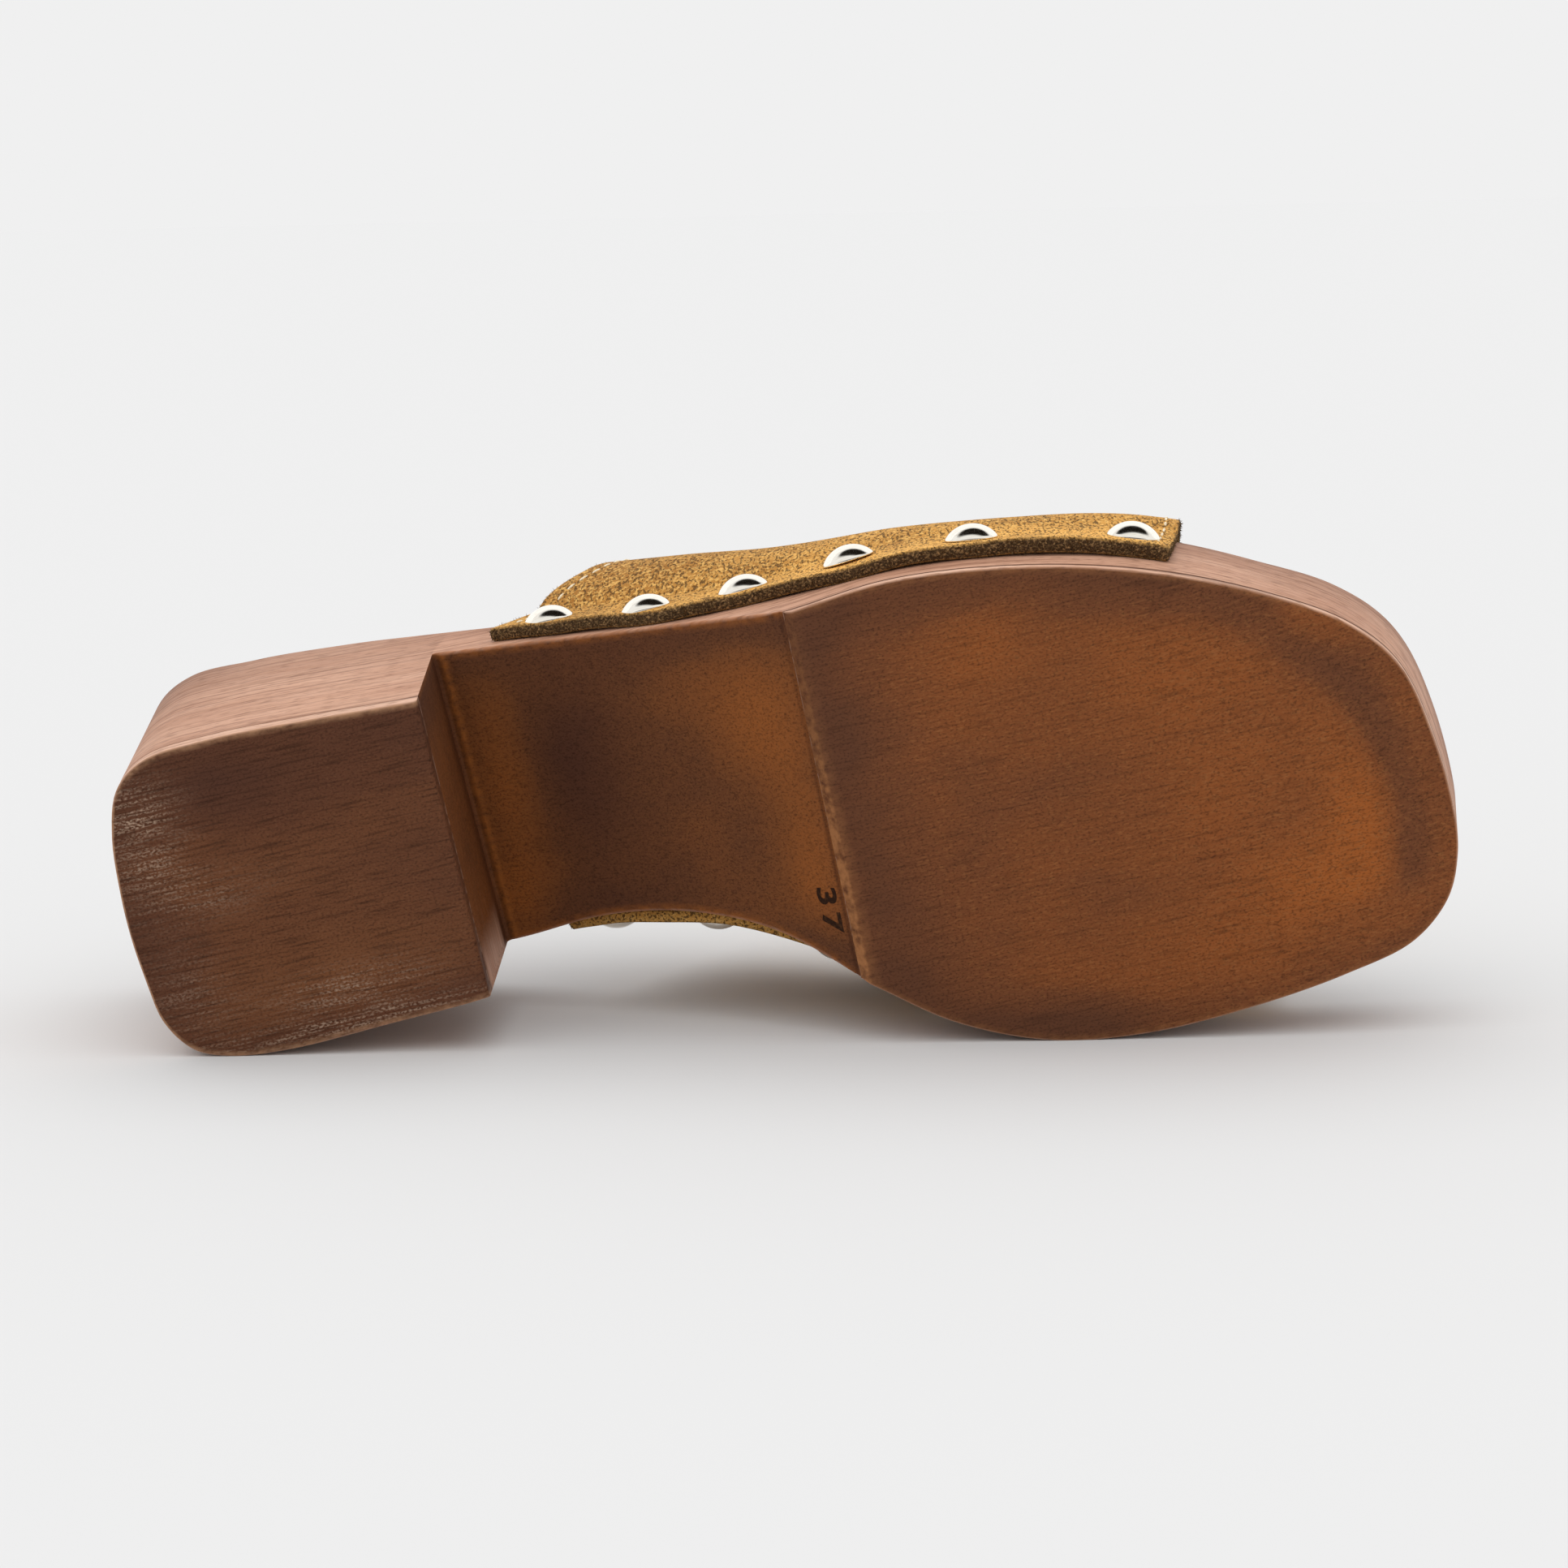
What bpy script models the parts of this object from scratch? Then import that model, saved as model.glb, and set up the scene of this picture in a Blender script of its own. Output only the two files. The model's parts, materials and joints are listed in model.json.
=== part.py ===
"""Clog mule for the right foot: carved wooden sole, tread, heel lift, suede vamp and dome nails.

The shoe is drawn standing, in millimetres: x runs from heel to toe, y towards the medial (inner)
side and z upwards from the floor under heel and ball. One empty carries every piece and lays the
shoe on its medial side, on the three points that it rests on by itself.
"""
import math
from collections import namedtuple

import bmesh
import bpy
import numpy as np
from mathutils import Matrix, Vector

MM = 0.001
GAP = 0.3

# Sole outline at the floor, from the back of the heel to the tip of the toe.
# y is the edge of the sole and flare is how far the wall leans out by the time it reaches the rim.
EdgeRow = namedtuple("EdgeRow", "x y flare")
LATERAL_EDGE = (
    EdgeRow(1.1, 8.0, 4.5),
    EdgeRow(1.7, -1.0, 4.5),
    EdgeRow(3.6, -12.0, 4.3),
    EdgeRow(7.0, -20.3, 3.5),
    EdgeRow(13.0, -24.6, 2.2),
    EdgeRow(26.0, -25.8, 1.2),
    EdgeRow(45.0, -25.2, 1.0),
    EdgeRow(66.5, -24.1, 0.8),
    EdgeRow(100.0, -23.6, 0.5),
    EdgeRow(135.0, -24.6, 0.3),
    EdgeRow(157.0, -26.2, 0.4),
    EdgeRow(181.0, -23.2, 1.1),
    EdgeRow(204.0, -16.7, 2.3),
    EdgeRow(223.0, -7.8, 2.4),
    EdgeRow(237.0, 1.8, 3.4),
    EdgeRow(244.4, 11.5, 4.6),
    EdgeRow(248.0, 26.8, 5.0),
    EdgeRow(249.1, 42.0, 5.0),
)
MEDIAL_EDGE = (
    EdgeRow(1.1, 8.0, 4.5),
    EdgeRow(1.6, 16.5, 4.4),
    EdgeRow(3.4, 25.5, 4.0),
    EdgeRow(7.5, 31.9, 3.0),
    EdgeRow(14.0, 34.7, 1.8),
    EdgeRow(25.0, 35.9, 1.0),
    EdgeRow(45.0, 35.3, 0.8),
    EdgeRow(66.5, 34.2, 1.2),
    EdgeRow(86.0, 30.4, 3.2),
    EdgeRow(105.0, 31.4, 3.4),
    EdgeRow(119.5, 36.7, 2.0),
    EdgeRow(135.0, 47.7, 0.3),
    EdgeRow(150.0, 59.4, -0.5),
    EdgeRow(167.0, 67.0, -1.1),
    EdgeRow(185.0, 69.7, -1.3),
    EdgeRow(205.0, 69.2, -0.8),
    EdgeRow(224.0, 66.7, 0.5),
    EdgeRow(237.5, 63.3, 2.4),
    EdgeRow(245.0, 57.2, 3.8),
    EdgeRow(248.2, 50.2, 4.8),
    EdgeRow(249.1, 42.0, 5.0),
)

# Height of the rim over the floor, and how deep the footbed is dished below it.
RimRow = namedtuple("RimRow", "x height dish")
RIM = (
    RimRow(0.0, 66.5, 1.0),
    RimRow(20.0, 66.0, 3.0),
    RimRow(45.0, 64.0, 3.5),
    RimRow(60.0, 61.0, 3.0),
    RimRow(75.0, 55.8, 2.5),
    RimRow(90.0, 49.0, 2.0),
    RimRow(105.0, 41.6, 2.0),
    RimRow(120.0, 34.6, 2.2),
    RimRow(135.0, 29.6, 2.5),
    RimRow(155.0, 27.0, 2.5),
    RimRow(185.0, 26.6, 2.2),
    RimRow(215.0, 27.8, 1.8),
    RimRow(235.0, 30.2, 1.2),
    RimRow(249.1, 32.4, 0.8),
)

# Underside of the sole.
BREAST_X = 66.5
BREAST_HEIGHT = 39.0
BREAST_FILLET = 3.0
RIDGE_X = 136.8
WAIST_ARCH_RISE = 3.0
LIFT_THICKNESS = 4.0
TREAD_THICKNESS = 2.2
TREAD_BEVEL = 1.8
TOE_SPRING = 5.5
SPRING_START_X = 195.0
EDGE_ROUND = 0.6
# Tread and lift stand this far proud of the wood, and the rim is rounded in a few equal turns.
LIP = 0.3
RIM_ROUND = 2.6
RIM_TURNS = 2
# How finely the sole is divided.
STATIONS = 56
FOOTBED_COLUMNS = 8
ARCH_STEPS = 16
CUTTER_OVERHANG = 30.0

# Suede vamp: the heights of its two lower edges, the top of its arch,
# and how far each side swells past the wall of the sole.
VampRow = namedtuple("VampRow", "x lower_lateral lower_medial crown_y crown_z swell_lateral swell_medial")
VAMP = (
    VampRow(77.0, 40.5, 40.5, 6.0, 116.0, 5.6, 4.0),
    VampRow(95.0, 30.2, 30.5, 9.0, 105.0, 5.6, 5.5),
    VampRow(115.0, 20.2, 22.5, 13.0, 93.5, 5.3, 8.0),
    VampRow(135.0, 16.2, 19.5, 18.0, 83.0, 3.8, 10.0),
    VampRow(155.0, 13.6, 17.5, 23.0, 74.0, 1.9, 7.4),
    VampRow(175.0, 12.2, 16.5, 26.0, 66.5, 1.5, 3.6),
    VampRow(195.0, 11.6, 16.0, 29.0, 60.5, 1.6, 2.2),
    VampRow(215.0, 11.4, 15.0, 32.0, 57.0, 2.4, 2.0),
)
# Front and rear edges of the vamp; climb is 0 at the lower edge, 1 at the rim, 2 at the crown.
BorderRow = namedtuple("BorderRow", "climb front_lateral front_medial rear")
VAMP_BORDER = (
    BorderRow(0.0, 206.8, 210.5, 77.5),
    BorderRow(1.0, 209.8, 213.5, 86.0),
    BorderRow(1.2, 210.4, 213.5, 96.5),
    BorderRow(1.5, 210.0, 212.0, 106.0),
    BorderRow(2.0, 208.5, 208.5, 114.0),
)
SUEDE_THICKNESS = 1.9
# The arch is a Bezier curve: how far its handles reach past the wall, up the side and along the top.
SWELL_REACH = 2.4
SHOULDER_SIDE = {"lateral": 0.55, "medial": 0.95}
SHOULDER_TOP = 0.72
VAMP_ROWS = 20
VAMP_WALL_COLUMNS = 4
VAMP_ARCH_COLUMNS = 13

# Nails: where each one stands along the sole, and how far above the suede's lower edge.
NAILS_LATERAL = (89.0, 109.0, 128.5, 149.5, 172.5, 201.5)
NAILS_MEDIAL = (88.0, 109.5, 131.0, 153.0, 194.0)
NAIL_ABOVE_EDGE = 6.0
NAIL_RADIUS = 4.6
NAIL_DOME = 2.3
NAIL_RIM = 0.3
NAIL_SEGMENTS = 16
NAIL_RINGS = 4

# The shoe comes to rest on a face of its hull that looks at least this much to the medial side.
MEDIAL_FACING = 0.5

# Each material: base colour in linear light, roughness, metallic, and density in kg per cubic metre.
Finish = namedtuple("Finish", "colour roughness metallic density")
STAINED_WOOD = Finish((0.155, 0.060, 0.035), 0.45, 0.0, 520.0)
BROWN_TREAD = Finish((0.110, 0.040, 0.018), 0.55, 0.0, 1150.0)
BROWN_LIFT = Finish((0.075, 0.030, 0.019), 0.50, 0.0, 1150.0)
TAN_SUEDE = Finish((0.270, 0.135, 0.040), 0.90, 0.0, 800.0)
NICKEL = Finish((0.700, 0.680, 0.640), 0.18, 1.0, 7800.0)


def clear_scene():
    """Remove every object of the scene."""
    for item in list(bpy.data.objects):
        bpy.data.objects.remove(item, do_unlink=True)


def make_material(name, finish):
    """Make one Principled material."""
    material = bpy.data.materials.new(name)
    material.use_nodes = True
    shader = material.node_tree.nodes["Principled BSDF"]
    shader.inputs["Base Color"].default_value = (*finish.colour, 1.0)
    shader.inputs["Roughness"].default_value = finish.roughness
    shader.inputs["Metallic"].default_value = finish.metallic
    return material


def smooth_curve(rows, column):
    """Return a smooth curve, without overshoot, through one column of a table over its first column."""
    xs = np.array([row[0] for row in rows])
    ys = np.array([getattr(row, column) for row in rows])
    steps = np.diff(xs)
    slopes = np.diff(ys) / steps
    tangents = np.empty_like(ys)
    tangents[0], tangents[-1] = slopes[0], slopes[-1]
    for i in range(1, len(xs) - 1):
        before, after = slopes[i - 1], slopes[i]
        if before * after <= 0.0:
            tangents[i] = 0.0
        else:
            weight_a = 2.0 * steps[i] + steps[i - 1]
            weight_b = steps[i] + 2.0 * steps[i - 1]
            tangents[i] = (weight_a + weight_b) / (weight_a / before + weight_b / after)

    def curve(x):
        x = np.clip(x, xs[0], xs[-1])
        i = np.clip(np.searchsorted(xs, x) - 1, 0, len(xs) - 2)
        t = (x - xs[i]) / steps[i]
        start = ys[i] * (1.0 + 2.0 * t) * (1.0 - t) ** 2 + tangents[i] * steps[i] * t * (1.0 - t) ** 2
        end = ys[i + 1] * t * t * (3.0 - 2.0 * t) + tangents[i + 1] * steps[i] * t * t * (t - 1.0)
        return start + end

    return curve


class Edge:
    """One side of the sole's outline: a round curve through the rows of its table."""

    SAMPLES = 24
    NORMAL_STEP = 0.4

    def __init__(self, name, rows, outward):
        self.name = name
        self.outward = outward
        self.flare = smooth_curve(rows, "flare")
        points = np.array([(row.x, row.y) for row in rows])
        before = 2.0 * points[0] - points[1]
        before[0] = points[1][0]
        after = 2.0 * points[-1] - points[-2]
        after[0] = points[-2][0]
        chain = np.vstack((before, points, after))
        path = [self.span(chain[i:i + 4]) for i in range(len(points) - 1)]
        self.path = np.vstack((*path, points[-1:]))

    @classmethod
    def span(cls, quad):
        """Sample one span of a centripetal Catmull-Rom curve."""
        knots = np.concatenate(([0.0], np.cumsum(np.linalg.norm(np.diff(quad, axis=0), axis=1) ** 0.5)))
        t = np.linspace(knots[1], knots[2], cls.SAMPLES, endpoint=False)[:, None]
        a = [
            (knots[i + 1] - t) / (knots[i + 1] - knots[i]) * quad[i]
            + (t - knots[i]) / (knots[i + 1] - knots[i]) * quad[i + 1]
            for i in range(3)
        ]
        b = [
            (knots[i + 2] - t) / (knots[i + 2] - knots[i]) * a[i]
            + (t - knots[i]) / (knots[i + 2] - knots[i]) * a[i + 1]
            for i in range(2)
        ]
        return (knots[2] - t) / (knots[2] - knots[1]) * b[0] + (t - knots[1]) / (knots[2] - knots[1]) * b[1]

    def y(self, x):
        """Return the edge's y at a place along the sole."""
        return np.interp(x, self.path[:, 0], self.path[:, 1])

    def normal(self, x):
        """Return the outward direction of the edge in plan."""
        low = max(x - self.NORMAL_STEP, self.path[0, 0])
        high = min(x + self.NORMAL_STEP, self.path[-1, 0])
        direction = np.array([high - low, self.y(high) - self.y(low)])
        direction = direction / np.linalg.norm(direction)
        return np.array([-direction[1], direction[0]]) * self.outward

    def wall(self, x, height, proud=0.0):
        """Return the point of the side wall at one height, moved outwards by proud."""
        share = height / rim_height(x)
        reach = self.flare(x) * share + proud
        plan = np.array([x, self.y(x)]) + self.normal(x) * reach
        return np.array([plan[0], plan[1], height])


LATERAL = Edge("lateral", LATERAL_EDGE, -1.0)
MEDIAL = Edge("medial", MEDIAL_EDGE, 1.0)
HEEL_BACK_X = LATERAL_EDGE[0].x
TOE_TIP_X = LATERAL_EDGE[-1].x
rim_height = smooth_curve(RIM, "height")
footbed_dish = smooth_curve(RIM, "dish")


def spring_height(x):
    """Return how far the toe spring lifts the underside at x."""
    share = max(x - SPRING_START_X, 0.0) / (TOE_TIP_X - SPRING_START_X)
    return TOE_SPRING * share ** 2


def wood_underside(x):
    """Return the height of the wood over its tread or lift."""
    middle = 0.5 * (BREAST_X + RIDGE_X)
    if x < middle:
        return LIFT_THICKNESS + GAP
    return spring_height(x) + TREAD_THICKNESS + GAP


def eased_stations(start, end, count, round_start, round_end):
    """Space places along the sole closer together at the ends that are round."""
    share = np.linspace(0.0, 1.0, count + 1)
    low = 0.0 if round_start else 0.5 * math.pi
    high = math.pi if round_end else 0.5 * math.pi
    eased = np.cos(low + (high - low) * share)
    return start + (end - start) * (eased[0] - eased) / (eased[0] - eased[-1])


def add_object(name, mesh, material, carrier):
    """Put a mesh in the scene as one piece of the shoe."""
    mesh.materials.append(material)
    item = bpy.data.objects.new(name, mesh)
    bpy.context.collection.objects.link(item)
    item.parent = carrier
    return item


def finish_mesh(name, bm, sharp_degrees=40.0):
    """Turn a bmesh in millimetres into a mesh in metres, smooth except at its sharp edges."""
    bmesh.ops.recalc_face_normals(bm, faces=bm.faces)
    bmesh.ops.scale(bm, vec=(MM, MM, MM), verts=bm.verts)
    mesh = bpy.data.meshes.new(name)
    bm.to_mesh(mesh)
    bm.free()
    mesh.shade_smooth()
    mesh.set_sharp_from_angle(angle=math.radians(sharp_degrees))
    return mesh


def bridge_rings(bm, low, high):
    """Join two closed rings of vertices with a band of quads."""
    count = len(low)
    for i in range(count):
        k = (i + 1) % count
        bm.faces.new((low[i], low[k], high[k], high[i]))


def bridge_rows(bm, first, second):
    """Join two rows that run across the sole, where a row may be a single vertex."""
    if len(first) == 1:
        for a, b in zip(second, second[1:]):
            bm.faces.new((first[0], a, b))
    elif len(second) == 1:
        for a, b in zip(first, first[1:]):
            bm.faces.new((a, second[0], b))
    else:
        for i in range(len(first) - 1):
            bm.faces.new((first[i], second[i], second[i + 1], first[i + 1]))


class SoleLayer:
    """A closed layer of the sole between two places along it.

    Its ring of points runs up the lateral edge and back down the medial edge. A round end is one
    shared point, a straight end is a cut across the sole.
    """

    def __init__(self, start, end, count):
        self.round_start = start <= HEEL_BACK_X
        self.round_end = end >= TOE_TIP_X
        self.xs = eased_stations(start, end, count, self.round_start, self.round_end)

    def ring(self, bm, height_at, proud):
        """Add one ring; height_at gives its height at x, proud its distance out of the wall."""
        lateral = [LATERAL.wall(x, height_at(x), proud) for x in self.xs]
        medial = [MEDIAL.wall(x, height_at(x), proud) for x in self.xs]
        if self.round_start:
            medial = medial[1:]
        if self.round_end:
            medial = medial[:-1]
        return [bm.verts.new(point) for point in lateral + medial[::-1]]

    def rows(self, ring):
        """Split a ring into the pairs of points that face each other across the sole."""
        count = len(self.xs)
        pairs = []
        for i in range(count):
            partner = len(ring) - i if self.round_start else len(ring) - 1 - i
            if (i == 0 and self.round_start) or (i == count - 1 and self.round_end):
                pairs.append([ring[i]])
            else:
                pairs.append([ring[i], ring[partner]])
        return pairs

    def close(self, bm, ring, columns=1, drop_at=None):
        """Close a ring with rows across it, sunk in the middle by drop_at where it is given."""
        rows = []
        for x, pair in zip(self.xs, self.rows(ring)):
            if len(pair) == 1 or columns == 1:
                rows.append(pair)
                continue
            start, end = pair[0].co, pair[1].co
            row = [pair[0]]
            for j in range(1, columns):
                share = j / columns
                point = start.lerp(end, share)
                point.z -= drop_at(x) * (1.0 - (2.0 * share - 1.0) ** 4)
                row.append(bm.verts.new(point))
            rows.append(row + [pair[1]])
        for first, second in zip(rows, rows[1:]):
            bridge_rows(bm, first, second)


def build_thin_layer(name, layer, thickness, lift_at, bevel=0.0):
    """Build the tread or the lift: a thin layer with a softened lower edge."""
    bm = bmesh.new()
    floor = layer.ring(bm, lift_at, LIP - EDGE_ROUND)
    edge = layer.ring(bm, lambda x: lift_at(x) + EDGE_ROUND, LIP)
    top = layer.ring(bm, lambda x: lift_at(x) + thickness, LIP)
    for ring, inset in ((floor, bevel), (edge, 0.5 * bevel)):
        for vert in (ring[0], ring[-1]):
            vert.co.x += inset
    bridge_rings(bm, floor, edge)
    bridge_rings(bm, edge, top)
    layer.close(bm, floor)
    layer.close(bm, top)
    return finish_mesh(name, bm)


def build_sole_blank():
    """Build the wooden sole before its waist is cut away: outline, walls, rim and dished footbed."""
    bm = bmesh.new()
    layer = SoleLayer(HEEL_BACK_X, TOE_TIP_X, STATIONS)
    rings = [layer.ring(bm, wood_underside, 0.0)]
    for turn in range(RIM_TURNS + 1):
        angle = 0.5 * math.pi * turn / RIM_TURNS
        below = RIM_ROUND * (1.0 - math.sin(angle))
        inset = RIM_ROUND * (1.0 - math.cos(angle))
        rings.append(layer.ring(bm, lambda x: rim_height(x) - below, -inset))
    for low, high in zip(rings, rings[1:]):
        bridge_rings(bm, low, high)
    layer.close(bm, rings[0])
    layer.close(bm, rings[-1], FOOTBED_COLUMNS, footbed_dish)
    return finish_mesh("wood_sole", bm)


def waist_profile():
    """Return the side profile of the waist cut-out, from the breast's foot round to the ridge's foot."""
    below = -CUTTER_OVERHANG
    end_height = TREAD_THICKNESS + GAP
    profile = [(BREAST_X, below)]
    for i in range(ARCH_STEPS + 1):
        share = i / ARCH_STEPS
        x = BREAST_X + share * (RIDGE_X - BREAST_X)
        straight = BREAST_HEIGHT + share * (end_height - BREAST_HEIGHT)
        arched = straight + WAIST_ARCH_RISE * math.sin(math.pi * share)
        corner = BREAST_FILLET * max(0.0, 1.0 - (x - BREAST_X) / BREAST_FILLET) ** 2
        profile.append((x, arched - corner))
    profile.append((RIDGE_X, below))
    return profile


def build_waist_cutter(carrier):
    """Build the block that cuts the waist: the side profile swept across the sole."""
    bm = bmesh.new()
    sides = []
    for y in (LATERAL.y(BREAST_X) - CUTTER_OVERHANG, MEDIAL.y(RIDGE_X) + CUTTER_OVERHANG):
        sides.append([bm.verts.new((x, y, z)) for x, z in waist_profile()])
    bridge_rings(bm, *sides)
    for side in sides:
        bm.faces.new(side)
    cutter = bpy.data.objects.new("waist_cutter", finish_mesh("waist_cutter", bm))
    bpy.context.collection.objects.link(cutter)
    cutter.parent = carrier
    cutter.hide_render = True
    cutter.display_type = "WIRE"
    return cutter


def bezier(a, b, c, d, share):
    """Return a point of a cubic Bezier curve."""
    rest = 1.0 - share
    return rest ** 3 * a + 3.0 * rest ** 2 * share * b + 3.0 * rest * share ** 2 * c + share ** 3 * d


class Vamp:
    """The suede band as a surface: one arch over the foot at each place along the sole."""

    def __init__(self):
        self.curves = {field: smooth_curve(VAMP, field) for field in VampRow._fields[1:]}
        self.columns = 2 * (VAMP_WALL_COLUMNS + VAMP_ARCH_COLUMNS)

    def point(self, side, x, climb):
        """Return a point of the inner face: climb 0 to 1 is the wall, 1 to 2 the arch up to the crown."""
        lower = self.curves["lower_" + side.name](x)
        rim = rim_height(x)
        if climb <= 1.0:
            return side.wall(x, lower + climb * (rim - lower), GAP)
        foot = side.wall(x, rim, GAP)
        crown = np.array([x, self.curves["crown_y"](x), self.curves["crown_z"](x)])
        swell = np.append(side.normal(x), 0.0) * self.curves["swell_" + side.name](x) * SWELL_REACH
        shoulder = foot + swell + np.array([0.0, 0.0, SHOULDER_SIDE[side.name] * (crown[2] - rim)])
        top = crown + (foot - crown) * np.array([SHOULDER_TOP, SHOULDER_TOP, 0.0])
        return bezier(foot, shoulder, top, crown, climb - 1.0)

    def climb(self, column):
        """Return the side and the climb of a column of the grid."""
        side = MEDIAL if column > self.columns // 2 else LATERAL
        step = self.columns - column if side is MEDIAL else column
        if step <= VAMP_WALL_COLUMNS:
            return side, step / VAMP_WALL_COLUMNS
        return side, 1.0 + (step - VAMP_WALL_COLUMNS) / VAMP_ARCH_COLUMNS

    def inner_grid(self):
        """Return the inner face as a grid of points, a row for each step from front to rear."""
        grid = np.empty((VAMP_ROWS + 1, self.columns + 1, 3))
        rear_edge = smooth_curve(VAMP_BORDER, "rear")
        for j in range(self.columns + 1):
            side, climb = self.climb(j)
            front = smooth_curve(VAMP_BORDER, "front_" + side.name)(climb)
            for i in range(VAMP_ROWS + 1):
                x = front + (rear_edge(climb) - front) * i / VAMP_ROWS
                grid[i, j] = self.point(side, x, climb)
        return grid

    @staticmethod
    def outer_grid(inner):
        """Return the outer face: the inner face moved out by the suede's thickness."""
        along = np.gradient(inner, axis=0)
        around = np.gradient(inner, axis=1)
        normal = np.cross(around, along)
        normal /= np.linalg.norm(normal, axis=2, keepdims=True)
        return inner + normal * SUEDE_THICKNESS

    def build(self):
        """Build the band as one closed wall."""
        bm = bmesh.new()
        inner = self.inner_grid()
        faces = [
            [[bm.verts.new(point) for point in row] for row in grid]
            for grid in (inner, self.outer_grid(inner))
        ]
        for grid in faces:
            for first, second in zip(grid, grid[1:]):
                bridge_rows(bm, first, second)
        borders = []
        for grid in faces:
            loop = grid[0] + [row[-1] for row in grid[1:]] + grid[-1][-2::-1]
            borders.append(loop + [row[0] for row in grid[-2:0:-1]])
        bridge_rings(bm, *borders)
        return finish_mesh("suede_vamp", bm)


def build_nail_mesh():
    """Build one dome head, its flat face on z = 0 and its dome upwards."""
    bm = bmesh.new()
    ball = (NAIL_RADIUS ** 2 + NAIL_DOME ** 2) / (2.0 * NAIL_DOME)
    spread = math.asin(NAIL_RADIUS / ball)
    rings = []
    levels = [(NAIL_RADIUS, 0.0)]
    for i in range(NAIL_RINGS):
        angle = spread * (1.0 - i / NAIL_RINGS)
        levels.append((ball * math.sin(angle), NAIL_RIM + ball * math.cos(angle) - ball + NAIL_DOME))
    for radius, height in levels:
        turns = [2.0 * math.pi * i / NAIL_SEGMENTS for i in range(NAIL_SEGMENTS)]
        rings.append([bm.verts.new((radius * math.cos(a), radius * math.sin(a), height)) for a in turns])
    for low, high in zip(rings, rings[1:]):
        bridge_rings(bm, low, high)
    bm.faces.new(rings[0])
    tip = bm.verts.new((0.0, 0.0, NAIL_RIM + NAIL_DOME))
    for i in range(NAIL_SEGMENTS):
        bm.faces.new((rings[-1][i], rings[-1][(i + 1) % NAIL_SEGMENTS], tip))
    return finish_mesh("dome_nail", bm)


def place_nail(name, mesh, edge, x, carrier):
    """Stand one nail on the suede, square to the wall and clear of it all round."""
    height = smooth_curve(VAMP, "lower_" + edge.name)(x) + NAIL_ABOVE_EDGE
    reach = NAIL_RADIUS
    offsets = ((-reach, 0.0), (reach, 0.0), (0.0, -reach), (0.0, reach), (0.0, 0.0))
    probes = [Vector(edge.wall(x + dx, height + dz, GAP + SUEDE_THICKNESS)) for dx, dz in offsets]
    back, front, below, above, centre = probes
    up = (above - below).normalized()
    out = (front - back).cross(up).normalized() * -edge.outward
    seat = centre + out * (max(out.dot(probe - centre) for probe in probes) + GAP)
    nail = bpy.data.objects.new(name, mesh)
    bpy.context.collection.objects.link(nail)
    nail.parent = carrier
    turn = Matrix((up.cross(out), up, out)).transposed()
    nail.matrix_local = Matrix.Translation(seat * MM) @ turn.to_4x4()
    return nail


def evaluated_copy(item):
    """Return a bmesh of a piece as modelled, in the standing frame."""
    graph = bpy.context.evaluated_depsgraph_get()
    bm = bmesh.new()
    bm.from_mesh(item.evaluated_get(graph).data)
    bm.transform(item.matrix_local)
    bmesh.ops.triangulate(bm, faces=bm.faces)
    return bm


def weigh(pieces):
    """Return every corner of the shoe and its centre of mass; pieces holds (object, density)."""
    corners = []
    mass = 0.0
    moment = Vector((0.0, 0.0, 0.0))
    for item, density in pieces:
        bm = evaluated_copy(item)
        for face in bm.faces:
            a, b, c = (vert.co for vert in face.verts)
            share = density * a.dot(b.cross(c)) / 6.0
            mass += share
            moment += share * (a + b + c) / 4.0
        corners.extend(vert.co.copy() for vert in bm.verts)
        bm.free()
    return corners, moment / mass


def resting_plane(corners, centre):
    """Return the medial hull face that the centre of mass stands over, as its normal and its points."""
    bm = bmesh.new()
    for corner in corners:
        bm.verts.new(corner)
    bmesh.ops.convex_hull(bm, input=bm.verts, use_existing_faces=False)
    bmesh.ops.triangulate(bm, faces=bm.faces)
    best = None
    for face in bm.faces:
        points = [vert.co.copy() for vert in face.verts]
        normal = (points[1] - points[0]).cross(points[2] - points[0])
        if normal.length == 0.0:
            continue
        normal.normalize()
        if normal.dot(points[0] - centre) < 0.0:
            normal.negate()
        foot = centre + normal * normal.dot(points[0] - centre)
        sides = [(points[i] - points[i - 1]).cross(foot - points[i - 1]).dot(normal) for i in range(3)]
        inside = min(sides) >= 0.0 or max(sides) <= 0.0
        if inside and normal.y > MEDIAL_FACING and (best is None or normal.y > best[0].y):
            best = (normal, points)
    bm.free()
    return best


def lay_down(carrier, corners, centre):
    """Turn the shoe onto its medial side, toe along +X and sole facing -Y, and centre it on the floor."""
    normal, points = resting_plane(corners, centre)
    up = -normal
    along = Vector((1.0, 0.0, 0.0))
    along = (along - up * along.dot(up)).normalized()
    turn = Matrix((along, up.cross(along), up))
    laid = [turn @ corner for corner in corners]
    low = Vector([min(point[i] for point in laid) for i in range(3)])
    high = Vector([max(point[i] for point in laid) for i in range(3)])
    shift = Vector((-(low.x + high.x) / 2.0, -(low.y + high.y) / 2.0, -low.z))
    carrier.matrix_world = Matrix.Translation(shift) @ turn.to_4x4()


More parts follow.
